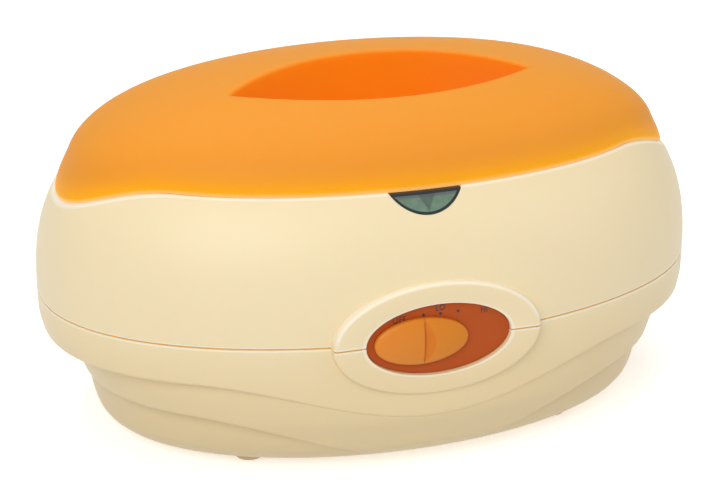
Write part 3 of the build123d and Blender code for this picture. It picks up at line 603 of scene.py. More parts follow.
def lower_casing(name):
    """The lower shell: draped layers, the panel's lower half and the holes in its floor."""
    casing = sizes("casing")
    clear_of_seam = 0.002
    piece = draped_form(name, 0, -casing.seam_gap / 2, True)
    carve(piece, draped_form("hollow", casing.wall, clear_of_seam, False), "DIFFERENCE")
    carve(piece, panel_block(False), "UNION")
    carve(piece, panel_window(), "DIFFERENCE")
    below, above = -0.01, 0.03
    for screw in screw_places():
        carve(piece, upright_disc("hole", SCREW_HOLE, *screw, below, above), "DIFFERENCE")
    smooth(piece)
    return piece


def screw_places():
    """Where the casing screws sit, seen from below."""
    low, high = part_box("housing_screws")
    x = (high.x - low.x) / 2 - SCREW_EDGE
    y = high.y - SCREW_EDGE
    return [(-x, y), (x, y)]


def seam_line(name):
    """A thin golden strip in the seam, painted shade of the seam's gap, with short runs across the panel's
    face.
    """
    casing, panel = sizes("casing"), sizes("panel")
    angles = around(512)
    half = casing.seam_gap / 2 + SEAL_OVERLAP
    rows = []
    outer, inner = SEAL_OUTER, casing.wall - SEAL_INNER
    for inset, rise in ((outer, -half), (outer, half), (inner, half), (inner, -half)):
        x, y = oval(casing.half_length - inset, casing.half_width - inset, angles)
        rows.append(ring(x, y, casing.seam + rise))
    piece = skin(name, rows, "loop")
    front = panel_front()
    depth = front + panel.depth
    inner = panel.window_length + SEAL_RUN_GAP
    outer = panel.half_length - SEAL_RUN_GAP
    gap = upright_oval("gap", panel.half_length, panel.half_height, [(-SEAL_CUT, -REACH), (-SEAL_CUT, 0)])
    carve(piece, gap, "DIFFERENCE")
    for side in (-1, 1):
        run = sorted((side * inner, side * outer))
        strip = box("strip", run, (front + SEAL_OUTER, depth), (casing.seam - half, casing.seam + half))
        carve(piece, strip, "UNION")
    smooth(piece)
    return piece


def dome_halves(height, inset, start):
    """Half length and half width of a dome that rises from a starting height on the casing's form."""
    lid, casing = sizes("lid"), sizes("casing")
    share = np.clip((height - start) / (lid.dome_rise - inset - start), 0, 1)
    sine = share ** (DOME_POWER / 2)
    radius = np.sqrt(np.clip(1 - sine ** 2, 0, 1)) ** (2 / DOME_PLAN_POWER)
    foot_x, foot_y = casing_halves(casing.rim_rise + start, inset)
    side_x, side_y = casing_halves(casing.rim_rise + height, inset)
    below = height < start
    return np.where(below, side_x, foot_x * radius), np.where(below, side_y, foot_y * radius)


def lid_halves(height, inset, start):
    """The lid's form: between a dome on the rim's level and one on the dipping edge."""
    share = sizes("lid").edge_share
    level_x, level_y = dome_halves(height, inset, 0.0)
    edge_x, edge_y = dome_halves(height, inset, start)
    return level_x + (edge_x - level_x) * share, level_y + (edge_y - level_y) * share


def soft_lid_halves(height, inset, start, width):
    """The lid's form with the crease at the rim's height smoothed over a width."""
    heaviest = 1.02
    total_x, total_y, total = 0, 0, 0
    for place in np.linspace(-1, 1, 13):
        weight = heaviest - abs(place)
        x, y = lid_halves(height + place * width, inset, start)
        total_x, total_y, total = total_x + weight * x, total_y + weight * y, total + weight
    return total_x / total, total_y / total


def scoop_height(x, y, margin):
    """Height of the grip scoop's wall and floor at places on the lid, found by halving."""
    lid = sizes("lid")
    lowest, highest, halvings = -0.4, 2.5, 26
    low, high = np.full(x.shape, lowest), np.full(x.shape, highest)
    across = np.abs(y - lid.scoop_centre)
    for _ in range(halvings):
        level = (low + high) / 2
        half_length = lid.scoop_floor_length + (lid.scoop_length - lid.scoop_floor_length) * level + margin
        half_width = lid.scoop_floor_width + (lid.scoop_width - lid.scoop_floor_width) * level + margin
        radius = (half_length ** 2 + half_width ** 2) / (2 * half_width)
        reach = half_width - radius + np.sqrt(np.clip(radius ** 2 - x ** 2, 0, None))
        inside = (across < reach) & (np.abs(x) < half_length)
        high = np.where(inside, level, high)
        low = np.where(inside, low, level)
    floor = rim_level() + lid.dome_rise - lid.scoop_depth - margin
    slope = floor + lid.scoop_depth * (low + high) / 2
    return -soft_lower(-slope, np.full(x.shape, -floor), SCOOP_FLOOR_ROUND)


def soft_lower(first, second, width):
    """The lower of two heights, blended where they cross."""
    share = np.clip(0.5 + 0.5 * (second - first) / width, 0, 1)
    return second + (first - second) * share - width * share * (1 - share)


def lid_grid(angles, inset, edge):
    """The lid's form as a fine grid, from just above its edge to its top."""
    lid, casing = sizes("lid"), sizes("casing")
    start = (rim_line(angles, inset) - casing.rim_rise)[None, :]
    width = -CREASE_WIDTH * start + CREASE_LEAST
    lowest = edge[None, :]
    side = lowest - lowest * np.linspace(0, 1, 60)[:, None]
    turns = np.linspace(0, 1, 240)[:, None]
    dome = (lid.dome_rise - inset) * np.sin(turns * math.pi / 2) ** (2 / DOME_POWER) + 0 * lowest
    heights = np.concatenate([side, np.maximum(dome, 1e-9)[1:]])
    local = width * np.clip(1 - np.abs(heights) / (CREASE_FADE * width), 0, 1)
    half_x, half_y = soft_lid_halves(heights, inset, start, local)
    x, y = oval(half_x, half_y, angles[None, :])
    return x, y, rim_level() + heights


def even_rows(x, y, z, stations):
    """Rings at shares of the way up along a fine grid's surface."""
    walk = np.sqrt(np.diff(x, axis=0) ** 2 + np.diff(y, axis=0) ** 2 + np.diff(z, axis=0) ** 2)
    walk = np.concatenate([np.zeros((1, x.shape[1])), np.cumsum(walk, axis=0)])
    steps, columns = np.arange(len(walk)), np.arange(x.shape[1])
    rows = []
    for station in stations:
        spot = np.asarray([np.interp(station * walk[-1, k], walk[:, k], steps) for k in columns])
        below = np.floor(spot).astype(int)
        above = np.minimum(below + 1, len(walk) - 1)
        part = spot - below
        point = [grid[below, columns] * (1 - part) + grid[above, columns] * part for grid in (x, y, z)]
        rows.append(ring(*point))
    return rows


def lid_rows(angles, inset, margin, edge, count):
    """Rings of the lid's form with the scoop sunk in, and how deep each point is sunk."""
    close, scoop_start = 0.06, 0.1
    stations = np.concatenate([np.linspace(0, close, 7), np.linspace(close, 1, count)[1:-1]])
    rows = even_rows(*lid_grid(angles, inset, edge), stations)
    sunk = []
    for row, station in zip(rows, stations):
        dome = row[:, 2].copy()
        if station > scoop_start:
            scoop = scoop_height(row[:, 0], row[:, 1], margin)
            row[:, 2] = soft_lower(dome, scoop, sizes("lid").scoop_round)
        sunk.append(dome - row[:, 2])
    return rows, sunk


def lid_shell(name):
    """The frosted lid with its grip scoop, rounded edge and locating lip."""
    lid, casing = sizes("lid"), sizes("casing")
    angles = around(480)
    radius = lid.edge_round
    line = rim_line(angles, lid.inset) - casing.rim_rise + lid.gap
    outer, sunk = lid_rows(angles, lid.inset, 0, line + radius, 104)
    rows = outer[::-1]
    depths = sunk[::-1]
    heights = [row[:, 2] - rim_level() - line for row in rows]

    def edge_ring(height, inset):
        half_x, half_y = casing_halves(casing.rim_rise + np.minimum(height, 0), inset)
        x, y = oval(half_x, half_y, angles)
        return ring(x, y, rim_level() + height)

    extra = []
    for gone, left in quarter(radius, 6)[1:]:
        extra.append(edge_ring(line + left, lid.inset + gone))
    extra.append(edge_ring(line, lid.lip_inset))
    extra.append(edge_ring(line - lid.lip_depth, lid.lip_inset))
    extra.append(edge_ring(line - lid.lip_depth, lid.lip_inset + lid.lip_wall))
    extra.append(edge_ring(line + lid.lip_depth, lid.lip_inset + lid.lip_wall))
    rows = rows + extra
    depths = depths + [np.zeros(len(angles))] * len(extra)
    heights = heights + [np.zeros(len(angles))] * len(extra)
    over_lip = line + lid.lip_depth + 0.0005
    inner, inner_sunk = lid_rows(angles, lid.inset + lid.wall, lid.wall, over_lip, 70)
    rows = rows + inner
    depths = depths + inner_sunk
    inside, middle = 0.02, 0.05
    heights = heights + [np.full(len(angles), inside)] * len(inner)
    marks = {
        "sunk": np.concatenate(depths + [[depths[0].mean()], [depths[-1].mean()]]),
        "over_edge": np.concatenate(heights + [[middle], [middle]]),
    }
    piece = skin(name, rows, "points", marks)
    smooth(piece, 50)
    return piece


def knob_form(name):
    """The domed oval knob with its thumb groove, steep on its left side."""
    panel = sizes("panel")
    back = panel_front() + PLATE_DEPTH - KNOB_GAP
    top = back - panel.knob_skirt - panel.knob_dome
    angles = around(320)
    rows = [knob_ring(angles, 1 - KNOB_EDGE / panel.knob_height, back)]
    for turn in np.linspace(0, math.pi / 2, 4):
        share = 1 - KNOB_EDGE * (1 - math.sin(turn)) / panel.knob_height
        rows.append(knob_ring(angles, share, back - KNOB_EDGE * 0.6 * math.sin(turn)))
    rows.append(knob_ring(angles, 1, back - panel.knob_skirt))
    for share in np.sin(np.linspace(math.pi / 2, 0, 72))[1:-1]:
        rise = panel.knob_dome * (1 - share ** DOME_POWER) ** 0.5
        row = knob_ring(angles, share, back - panel.knob_skirt - rise)
        local = row[:, 0] - panel.knob_shift - panel.groove_shift
        wall = np.clip((local + GROOVE_LIP) / GROOVE_LIP, 0, 1)
        ramp = top + panel.groove_depth * (1 - np.clip(local / panel.groove_width, 0, 3) ** 1.4)
        cut = np.where(local > -GROOVE_LIP, soft_depth(row[:, 1], ramp), row[:, 1])
        row[:, 1] = row[:, 1] + (cut - row[:, 1]) * wall
        rows.append(row)
    piece = skin(name, rows)
    smooth(piece, 40)
    return piece


def soft_depth(surface, ramp):
    """The deeper of the knob's surface and the groove's ramp, with a soft edge."""
    return -soft_lower(-surface, -ramp, GROOVE_LIP)


def knob_ring(angles, share, y):
    """A ring of the knob at a share of its outline."""
    panel, casing = sizes("panel"), sizes("casing")
    x = panel.knob_shift + panel.knob_length * share * np.cos(angles)
    z = casing.seam + panel.knob_height * share * np.sin(angles)
    return ring(x, y, z)


def lettering(name):
    """The printed words and dots over the knob."""
    panel, casing = sizes("panel"), sizes("casing")
    face = panel_front() + PLATE_DEPTH - PRINT_LIFT
    parts = []
    for word, x, z in WORDS:
        text = bpy.data.curves.new("word", "FONT")
        text.body = word
        text.size = panel.letter_height * TYPE_SIZE
        text.align_x = "CENTER"
        text.align_y = "CENTER"
        text.space_character = TYPE_SPACING
        text.extrude = PRINT_HALF
        carrier = shown("word", text)
        shape = settled_mesh(carrier)
        place = Matrix.Translation((x, face, casing.seam + z)) @ Matrix.Rotation(math.pi / 2, 4, "X")
        shape.transform(place @ Matrix.Diagonal((TYPE_WIDTH, 1.0, 1.0, 1.0)))
        bpy.data.objects.remove(carrier)
        parts.append(shape)
    for x, z in DOTS:
        angles = around(28)
        spot_x = x + panel.dot_radius * np.cos(angles)
        spot_z = casing.seam + z + panel.dot_radius * np.sin(angles)
        dot = skin("dot", [ring(spot_x, face + depth, spot_z) for depth in (PRINT_HALF, -PRINT_HALF)])
        parts.append(dot.data)
        bpy.data.objects.remove(dot)
    joined = bmesh.new()
    for part in parts:
        joined.from_mesh(part)
        bpy.data.meshes.remove(part)
    mesh = bpy.data.meshes.new(name)
    joined.to_mesh(mesh)
    joined.free()
    return shown(name, mesh)


# Finishes, with painted light and shade


class Signal:
    """A shader value. Arithmetic on it adds Math nodes to its tree."""

    def __init__(self, nodes, socket):
        self.nodes = nodes
        self.socket = socket

    def calculate(self, operation, first, second=0.0):
        return self.nodes.add("ShaderNodeMath", {"operation": operation}, {0: first, 1: second})

    def __add__(self, other):
        return self.calculate("ADD", self, other)

    __radd__ = __add__

    def __mul__(self, other):
        return self.calculate("MULTIPLY", self, other)

    __rmul__ = __mul__

    def __sub__(self, other):
        return self.calculate("SUBTRACT", self, other)

    def __rsub__(self, other):
        return self.calculate("SUBTRACT", other, self)

    def __truediv__(self, other):
        return self.calculate("DIVIDE", self, other)

    def root(self):
        return self.calculate("SQRT", self)

    def clamped(self):
        return self.calculate("MINIMUM", self.calculate("MAXIMUM", self, 0.0), 1.0)

    def size(self):
        return self.calculate("ABSOLUTE", self)

    def least(self, other):
        return self.calculate("MINIMUM", self, other)

    def cosine(self):
        return self.calculate("COSINE", self)


class Nodes:
    """A node tree that is filled one call at a time."""

    def __init__(self, owner):
        owner.use_nodes = True
        self.tree = owner.node_tree

    def add(self, kind, settings=None, values=None, output=0):
        node = self.tree.nodes.new(kind)
        for key, value in (settings or {}).items():
            setattr(node, key, value)
        self.fill(node, values or {})
        return Signal(self, node.outputs[output])

    def fill(self, node, values):
        for key, value in values.items():
            socket = node.inputs[key]
            if isinstance(value, Signal):
                self.tree.links.new(value.socket, socket)
            elif socket.type == "RGBA":
                socket.default_value = (*value[:3], 1.0)
            else:
                socket.default_value = value


class Surface(Nodes):
    """A material's nodes, with the patterns that its finishes share."""

    def __init__(self, name):
        self.material = bpy.data.materials.new(name)
        super().__init__(self.material)

    def place(self):
        return self.add("ShaderNodeTexCoord", output=3)

    def axis(self, index):
        return self.add("ShaderNodeSeparateXYZ", values={0: self.place()}, output=index)

    def mark(self, name):
        return self.add("ShaderNodeAttribute", {"attribute_name": name}, output=2)

    def noise(self, scale, detail=3.0, rough=0.55, stretch=(1, 1, 1)):
        spot = self.add("ShaderNodeMapping", values={"Vector": self.place(), "Scale": stretch})
        values = {"Vector": spot, "Scale": scale, "Detail": detail, "Roughness": rough}
        return self.add("ShaderNodeTexNoise", values=values)

    def blend(self, share, first, second):
        return self.add("ShaderNodeMix", {"data_type": "RGBA"}, {0: share, 6: first, 7: second}, output=2)

    def bump(self, height, strength, distance):
        values = {"Height": height, "Strength": strength, "Distance": distance}
        return self.add("ShaderNodeBump", values=values)

    def speckled(self, body, fine, tint, share):
        """A body colour with the darker specks of a spark-eroded grain."""
        speck = ((fine - 0.5) * 0.5 + 0.5).clamped()
        return self.blend(speck * share, body, tinted(tint, 0.86))

    def finish(self, **values):
        shader = self.tree.nodes["Principled BSDF"]
        self.fill(shader, {key.replace("_", " "): value for key, value in values.items()})
        return self.material

    def plastic(self, body, cloud, fine, roughness, relief, gloss, subsurface):
        """Moulded plastic: a cloudy roughness, a fine relief and a little light under the skin."""
        return self.finish(
            Base_Color=body,
            Roughness=(cloud - 0.5) * 0.10 + roughness,
            Normal=self.bump(fine, relief, GRAIN_BUMP),
            Specular_IOR_Level=gloss,
            Subsurface_Weight=subsurface,
            Subsurface_Scale=0.004,
        )


def tinted(tint, amount):
    """A colour made lighter or darker."""
    return tuple(min(1.0, max(0.0, part * amount)) for part in tint)


def line_mask(value, width):
    """Bright where a value is near zero, fading out over a width."""
    return (1 - value.size() / width).clamped()


def oval_reach(part_x, part_z):
    """How far a place lies out from an oval's middle: 1 on the oval's outline."""
    return (part_x * part_x + part_z * part_z).root()


def shade_under_edges(across, rise):
    """How many of the two draped edges lie above a place, for the painted shade under them."""
    base = sizes("base")
    sag = ((across / base.swag_half).size().least(1.0) * math.pi).cosine() * 0.5 + 0.5
    under_skirt = ((rise * -1 - sag * base.skirt_drop - base.skirt_depth) / EDGE_FADE).clamped()
    under_middle = ((rise * -1 - sag * base.middle_drop - base.middle_depth) / EDGE_FADE).clamped()
    return under_skirt + under_middle


def painted_edge_highlights(across, rise, front):
    """Painted highlights along the rim, beside the seam, and round the panel's opening and its outer edge.
    """
    casing, panel = sizes("casing"), sizes("panel")
    beyond = (across.size() - casing.dip_start).clamped() / (casing.dip_end - casing.dip_start)
    over_rim = beyond * beyond * casing.dip_depth + rise - casing.rim_rise
    rim = line_mask(over_rim + 0.0006, 0.0009)
    seam = line_mask(rise.size() - 0.0010, 0.0007)
    opening = oval_reach(across / panel.window_length, rise / panel.window_height)
    outside = oval_reach(across / panel.half_length, rise / panel.half_height)
    above_seam = ((rise - 0.002) * 200).clamped()
    round_opening = line_mask(opening - 1.03, 0.03) * front
    round_panel = line_mask(outside - 0.985, 0.035) * front * above_seam
    return (rim + seam + round_opening + round_panel).clamped()


def cream_casing(name):
    """The casing's satin cream, with painted shade deeper and warmer towards the foot and under the draped
    edges, and painted highlights along its edges.
    """
    tints = sizes("colours")
    panel_back = 0.118
    surface = Surface(name)
    cloud = surface.noise(9, 3, 0.5)
    fine = surface.noise(2600, 2, 0.5)
    across = surface.axis(0)
    rise = surface.axis(2) - sizes("casing").seam
    front = ((surface.axis(1) * -1 - panel_back) / MM).clamped()
    body = surface.blend(cloud, tinted(tints.casing, 0.975), tinted(tints.casing, 1.025))
    # Painted shade: the cream grows deeper and warmer towards the foot.
    depth = (rise * (-1 / sizes("base").depth)).clamped()
    body = surface.blend(depth.root() * 0.75, body, tints.casing_foot_shade)
    # Painted shade under the skirt's and the middle layer's edges.
    body = surface.blend(shade_under_edges(across, rise) * 0.06, body, tinted(tints.casing, 0.30))
    # Painted highlights: lighter lines where the rounded edges catch the light.
    body = surface.blend(painted_edge_highlights(across, rise, front) * 0.65, body, tints.casing_edge_highlight)
    body = surface.speckled(body, fine, tints.casing, 0.08)
    return surface.plastic(body, cloud, fine, 0.42, 0.10, 0.35, 0.12)


def moulded_plastic(name, tint, roughness=0.42, grain=2600, relief=0.10, gloss=0.5):
    """Moulded plastic with a fine spark-eroded grain and a faint cloudiness."""
    surface = Surface(name)
    cloud = surface.noise(9, 3, 0.5)
    fine = surface.noise(grain, 2, 0.5)
    body = surface.blend(cloud, tinted(tint, 0.965), tinted(tint, 1.035))
    body = surface.speckled(body, fine, tint, 0.10)
    return surface.plastic(body, cloud, fine, roughness, relief, gloss, 0.0)


def orange_knob(name):
    """The knob's orange plastic, with painted light on its left half, and painted shade on its right half,
    in the thumb groove and along its steep side.
    """
    panel = sizes("panel")
    red, green, blue = sizes("colours").knob
    surface = Surface(name)
    cloud = surface.noise(30, 3, 0.5)
    fine = surface.noise(1800, 2, 0.5)
    across = surface.axis(0) - panel.knob_shift - panel.groove_shift
    up = (surface.axis(2) - sizes("casing").seam) / panel.knob_height
    # Painted light and shade: the left half lighter and the right half darker and yellower, as the light
    # falls from the left.
    right = (across / panel.knob_length * 0.5 + 0.5).clamped()
    body = surface.blend(right, tinted((red, green, blue), 1.06), (red * 0.93, green * 0.9, blue * 0.2))
    body = surface.blend(cloud * 0.10, body, tinted((red, green, blue), 0.8))
    # Painted shade: deeper orange in the thumb groove.
    groove_reach, far_fade, near_fade = 0.0062, 0.0006, 0.0003
    far_side = (1 - up * up) * groove_reach
    groove = ((far_side - across) / far_fade).clamped() * (across / near_fade).clamped()
    body = surface.blend(groove * 0.45, body, (red * 0.92, green * 0.62, 0.0))
    # Painted shade: a dark line along the groove's steep side.
    body = surface.blend(line_mask(across - 0.0001, 0.0009) * 0.55, body, (0.45, 0.10, 0.0))
    return surface.plastic(body, cloud, fine, 0.38, 0.06, 0.3, 0.1)


def frosted_amber(name):
    """Frosted translucent amber, with painted light and a painted glow near its edge, and painted shade,
    deep orange, in the scoop.
    """
    tints = sizes("colours")
    surface = Surface(name)
    cloud = surface.noise(7, 3, 0.5)
    fine = surface.noise(2300, 2, 0.6)
    band_start, band_width, edge_width, scoop_fade = 0.002, 0.016, 0.0022, 0.0017
    over = surface.mark("over_edge")
    glow_band = (1 - (over - band_start) / band_width).clamped()
    edge = (1 - over / edge_width).clamped()
    deep = (surface.mark("sunk") / scoop_fade).clamped()
    body = surface.blend(cloud, tinted(tints.lid, 0.97), tinted(tints.lid, 1.03))
    # Painted light: a saturated band of light through the lid near its lower edge.
    body = surface.blend(glow_band * glow_band, body, tints.lid_edge_glow)
    # Painted light: a pale strip along the lid's lowest edge, over the shade of the gap beneath.
    body = surface.blend(edge * 0.7, body, (0.86, 0.56, 0.22))
    # Painted shade: deeper orange where the scoop is sunk in.
    body = surface.blend(deep, body, tints.lid_scoop_shade)
    body = surface.blend(fine * 0.10, body, tinted(tints.lid, 0.8))
    # Painted glow: the lid gives off light in the band and along its lowest edge, though it is no lamp.
    glow = surface.blend(glow_band * glow_band, (0.0, 0.0, 0.0), (0.16, 0.055, 0.0))
    glow = surface.blend(edge, glow, (0.24, 0.15, 0.06))
    return surface.finish(
        Base_Color=body,
        Emission_Color=glow,
        Emission_Strength=1.0,
        Roughness=(cloud - 0.5) * 0.08 + 0.46,
        Normal=surface.bump(fine, 0.16, 0.0003),
        Subsurface_Weight=0.35,
        Subsurface_Scale=0.006,
        Subsurface_Radius=(1.0, 0.45, 0.12),
        Specular_IOR_Level=0.3,
        IOR=1.22,
    )


def lamp_lens(name):
    """Grey-green translucent plastic with painted shade in a V, where the facets of its inner face would
    show.
    """
    tints = sizes("colours")
    surface = Surface(name)
    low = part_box("indicator_lens")[0].z
    facet_slope, facet_foot, shade_start, shade_fade = 0.62, 0.0004, 0.0062, 0.0010
    across = surface.axis(0).size()
    up = surface.axis(2) - low
    # Painted shade: a dark V for the inner facets, which have no form here.
    facet_shade = ((up * facet_slope - across + facet_foot) / EDGE_FADE).clamped()
    haze = surface.noise(260, 3, 0.6)
    body = surface.blend(haze, tinted(tints.lens, 0.7), tinted(tints.lens, 1.35))
    body = surface.blend(facet_shade * 0.55, body, tinted(tints.lens, 0.3))
    top_shade = ((up - shade_start) / shade_fade).clamped()
    body = surface.blend(top_shade * 0.6, body, (0.085, 0.072, 0.115))
    ribs = surface.noise(700, 2, 0.5, (1, 1, 0.2))
    return surface.finish(
        Base_Color=body,
        Roughness=haze * 0.10 + 0.16,
        Normal=surface.bump(ribs, 0.05, GRAIN_BUMP),
        Coat_Weight=0.6,
        Coat_Roughness=0.08,
    )


def dull_metal(name, tint, roughness, stretch=(1, 1, 1), relief=0.12):
    """Drawn or plated metal with fine streaks and a few dull patches."""
    surface = Surface(name)
    streaks = surface.noise(420, 4, 0.6, stretch)
    patches = surface.noise(24, 3, 0.55)
    body = surface.blend(patches, tinted(tint, 0.86), tinted(tint, 1.08))
    return surface.finish(
        Base_Color=body,
        Metallic=1.0,
        Roughness=(streaks - 0.5) * 0.22 + (patches - 0.5) * 0.16 + roughness,
        Normal=surface.bump(streaks, relief, GRAIN_BUMP),
    )


def soft_rubber(name, tint):
    """Matt rubber with a fine dusty grain."""
    surface = Surface(name)
    dust = surface.noise(900, 4, 0.7)
    patches = surface.noise(60, 3, 0.5)
    body = surface.blend(patches * 0.7, tinted(tint, 0.82), tinted(tint, 1.12))
    return surface.finish(
        Base_Color=body,
        Roughness=dust * 0.2 + 0.62,
        Normal=surface.bump(dust, 0.22, 0.0003),
    )


def felt(name, tint):
    """Felted glass fibre."""
    surface = Surface(name)
    fibres = surface.noise(380, 6, 0.75, (1, 1, 0.3))
    lumps = surface.noise(55, 3, 0.5)
    body = surface.blend(fibres, tinted(tint, 0.7), tinted(tint, 1.12))
    return surface.finish(
        Base_Color=body,
        Roughness=0.95,
        Normal=surface.bump(fibres + lumps, 0.6, 0.0012),
        Sheen_Weight=0.3,
    )


def clear_glass(name, tint):
    """The lamp's small glass, faintly tinted."""
    surface = Surface(name)
    swirl = surface.noise(300, 2, 0.5)
    body = surface.blend(swirl, tinted(tint, 0.9), tinted(tint, 1.1))
    return surface.finish(Base_Color=body, Roughness=0.06, Transmission_Weight=0.75, IOR=1.5)


def dress(piece, material):
    """Gives a piece one material."""
    piece.data.materials.clear()
    piece.data.materials.append(material)


def dress_node(node, material):
    """Gives a carried-over solid a finish through its own slots."""
    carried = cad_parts[node]
    if not carried.material_slots:
        carried.data.materials.append(material)
    for slot in carried.material_slots:
        slot.material = material


# Operators


class BuildOperator:
    """What every building step shares."""

    bl_options = {"REGISTER", "UNDO"}

    def place(self, piece, material, body, slot, *nodes):
        dress(piece, material)
        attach(piece, body)
        if nodes:
            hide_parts(*nodes)
        return {"FINISHED"}


class BATH_OT_upper_casing(BuildOperator, bpy.types.Operator):
    """Build the upper shell with its wavy rim"""

    bl_idname = "bath.upper_casing"
    bl_label = "Upper casing"

    def execute(self, context):
        material = cream_casing("cream_upper")
        return self.place(upper_casing("upper_casing"), material, "root", "casing", "upper_housing")


class BATH_OT_lower_casing(BuildOperator, bpy.types.Operator):
    """Build the lower shell with its draped layers"""

    bl_idname = "bath.lower_casing"
    bl_label = "Lower casing"

    def execute(self, context):
        material = cream_casing("cream_lower")
        return self.place(lower_casing("lower_casing"), material, "root", "casing", "lower_housing")


class BATH_OT_seam_line(BuildOperator, bpy.types.Operator):
    """Build the golden strip of painted shade in the seam"""

    bl_idname = "bath.seam_line"
    bl_label = "Seam line"

    def execute(self, context):
        # Painted shade: the strip's golden colour stands for the shaded seam gap.
        material = soft_rubber("golden_seam_shade", sizes("colours").seam)
        return self.place(seam_line("seam_line"), material, "root", "seam_seal", "seam_seal")


class BATH_OT_lid(BuildOperator, bpy.types.Operator):
    """Build the frosted lid with its grip scoop"""

    bl_idname = "bath.lid"
    bl_label = "Lid"

    def execute(self, context):
        return self.place(lid_shell("frosted_lid"), frosted_amber("frosted_amber"), "lid", "lid", "lid")


class BATH_OT_knob(BuildOperator, bpy.types.Operator):
    """Build the sliding knob"""

    bl_idname = "bath.knob"
    bl_label = "Knob"

    def execute(self, context):
        material = orange_knob("orange_knob")
        return self.place(knob_form("sliding_knob"), material, "slider", "knob", "slider_knob")


class BATH_OT_lettering(BuildOperator, bpy.types.Operator):
    """Print the words and dots on the control plate"""

    bl_idname = "bath.lettering"
    bl_label = "Lettering"

    def execute(self, context):
        material = moulded_plastic("black_print", sizes("colours").print_ink, 0.5, 2000, 0.05)
        return self.place(lettering("printed_marks"), material, "root", "bezel")


class BATH_OT_fittings(BuildOperator, bpy.types.Operator):
    """Finish the solids that are shown as they are"""

    bl_idname = "bath.fittings"
    bl_label = "Fittings"

    def execute(self, context):
        tints = sizes("colours")
        finishes = {
            moulded_plastic("brown_plate", tints.plate, 0.5, 1500, 0.16, 0.2): ["control_plate"],
            lamp_lens("lamp_lens"): ["indicator_lens"],
            moulded_plastic("dark_bezel", (0.018, 0.03, 0.03), 0.3): ["lens_bezel"],
            clear_glass("lamp_glass", (1.0, 0.72, 0.5)): ["indicator_lamp"],
            soft_rubber("foot_rubber", (0.66, 0.48, 0.24)): ["rubber_feet"],
            soft_rubber("gland_rubber", (0.75, 0.63, 0.44)): ["cord_gland"],
            moulded_plastic("label_film", (0.62, 0.62, 0.60), 0.3): ["blank_label"],
            dull_metal("tub_aluminium", (0.80, 0.80, 0.81), 0.34, (1, 1, 8)): ["tub", "heat_shield"],
            soft_rubber("silicone", (0.70, 0.70, 0.66)): ["tub_gasket"],
            moulded_plastic("guard_plastic", (0.80, 0.76, 0.66), 0.45): ["tub_guard"],
            dull_metal("zinc_plate", (0.72, 0.73, 0.72), 0.38): [
                "tub_brackets", "bracket_screws", "housing_screws", "switch_bracket", "switch_screws",
                "element_straps", "stud_nuts", "thermostat_plate", "shield_screws", "terminal_screws",
            ],
            dull_metal("heat_dulled_steel", (0.42, 0.38, 0.34), 0.5): ["heating_element", "thermal_fuse"],
            dull_metal("brass_pins", (0.78, 0.60, 0.28), 0.32): ["element_terminals"],
            felt("glass_felt", (0.74, 0.72, 0.64)): ["insulation_wrap"],
            moulded_plastic("white_nylon", (0.78, 0.78, 0.74), 0.4): [
                "lamp_holder", "slider_carrier", "switch_lever", "terminal_block",
            ],
            moulded_plastic("black_phenolic", (0.03, 0.03, 0.032), 0.4): ["selector_switch", "thermostat"],
            moulded_plastic("ceramic", (0.82, 0.80, 0.74), 0.6, 900, 0.2): ["fuse_block"],
            soft_rubber("brown_lead", (0.12, 0.05, 0.025)): ["lead_supply"],
            soft_rubber("red_lead", (0.45, 0.03, 0.02)): ["lead_element"],
            soft_rubber("white_lead", (0.74, 0.73, 0.70)): [
                "lead_thermostat", "lead_lamp_left", "lead_lamp_right",
            ],
        }
        for material, nodes in finishes.items():
            for node in nodes:
                dress_node(node, material)
        return {"FINISHED"}


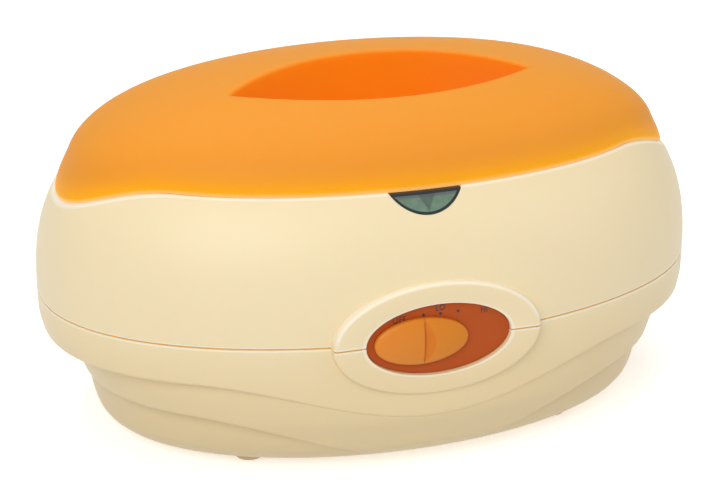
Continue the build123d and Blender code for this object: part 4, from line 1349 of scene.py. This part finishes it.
class BATH_OT_stage(BuildOperator, bpy.types.Operator):
    """Set the pale floor, the soft lights and the camera"""

    bl_idname = "bath.stage"
    bl_label = "Stage"

    def execute(self, context):
        stage = sizes("stage")
        self.floor(stage)
        for light in LIGHTS:
            self.light(*light)
        context.scene.world = self.surroundings(stage)
        context.scene.view_settings.view_transform = "Standard"
        context.scene.camera = self.camera(stage)
        return {"FINISHED"}

    def floor(self, stage):
        half = stage.floor_half
        mesh = bpy.data.meshes.new("floor")
        corners = [(-half, -half, 0), (half, -half, 0), (half, half, 0), (-half, half, 0)]
        mesh.from_pydata(corners, [], [(0, 1, 2, 3)])
        floor = shown("floor", mesh)
        surface = Surface("pale_floor")
        shade = surface.noise(3, 2, 0.5)
        body = surface.blend(shade, (0.90, 0.90, 0.90), (0.94, 0.94, 0.94))
        dress(floor, surface.finish(
            Base_Color=body, Roughness=0.7, Specular_IOR_Level=0.1,
            Emission_Color=(1.0, 1.0, 1.0), Emission_Strength=stage.floor_glow,
        ))
        floor.visible_diffuse = False

    def surroundings(self, stage):
        horizon = 0.25
        world = bpy.data.worlds.new("soft_studio")
        nodes = Nodes(world)
        level = nodes.add("ShaderNodeSeparateXYZ", values={0: nodes.add("ShaderNodeTexCoord")}, output=2)
        strength = nodes.add("ShaderNodeMapRange", values={
            "Value": level, "From Min": -horizon, "From Max": horizon,
            "To Min": stage.sky_low, "To Max": stage.sky,
        })
        nodes.fill(nodes.tree.nodes["Background"], {"Color": (1.0, 1.0, 1.0), "Strength": strength})
        return world

    def light(self, name, place, size, power, tint):
        lamp = bpy.data.lights.new(name, "AREA")
        lamp.shape = "DISK"
        lamp.size = size
        lamp.energy = power
        lamp.color = tint
        carrier = shown(name, lamp)
        carrier.location = place
        aim = Vector(LIGHTS_AIM) - Vector(place)
        carrier.rotation_euler = aim.to_track_quat("-Z", "Y").to_euler()

    def camera(self, stage):
        turn, height = math.radians(stage.turn), math.radians(stage.height)
        centre = Vector((0, 0, sizes("casing").seam))
        level = math.cos(height)
        away = Vector((-math.sin(turn) * level, -math.cos(turn) * level, math.sin(height)))
        data = bpy.data.cameras.new("camera")
        data.sensor_width = 36
        data.lens = stage.focus
        data.shift_x = stage.shift_right
        data.shift_y = stage.shift_up
        data.clip_start = 0.01
        camera = shown("camera", data)
        camera.location = centre + away * stage.distance
        camera.rotation_euler = (-away).to_track_quat("-Z", "Y").to_euler()
        return camera


class BATH_PT_sidebar(bpy.types.Panel):
    """Sizes, colours and building steps of the bath"""

    bl_label = "Paraffin bath"
    bl_idname = "BATH_PT_sidebar"
    bl_space_type = "VIEW_3D"
    bl_region_type = "UI"
    bl_category = "Bath"

    def draw(self, context):
        for step in STEPS:
            self.layout.operator(step.bl_idname)
        for name, group in GROUPS.items():
            section = self.layout.box()
            section.label(text=group.__doc__.strip())
            for key in group.__annotations__:
                section.prop(getattr(context.scene, name), key)


STEPS = (
    BATH_OT_upper_casing,
    BATH_OT_lower_casing,
    BATH_OT_seam_line,
    BATH_OT_lid,
    BATH_OT_knob,
    BATH_OT_lettering,
    BATH_OT_fittings,
    BATH_OT_stage,
)


def register():
    for group in GROUPS.values():
        bpy.utils.register_class(group)
    for name, group in GROUPS.items():
        setattr(bpy.types.Scene, name, PointerProperty(type=group))
    for kind in (*STEPS, BATH_PT_sidebar):
        bpy.utils.register_class(kind)


def unregister():
    for kind in (BATH_PT_sidebar, *reversed(STEPS)):
        bpy.utils.unregister_class(kind)
    for name, group in GROUPS.items():
        delattr(bpy.types.Scene, name)
        bpy.utils.unregister_class(group)


def main():
    """Build every piece in order."""
    register()
    for step in STEPS:
        family, action = step.bl_idname.split(".")
        getattr(getattr(bpy.ops, family), action)()


if __name__ == "__main__":
    main()
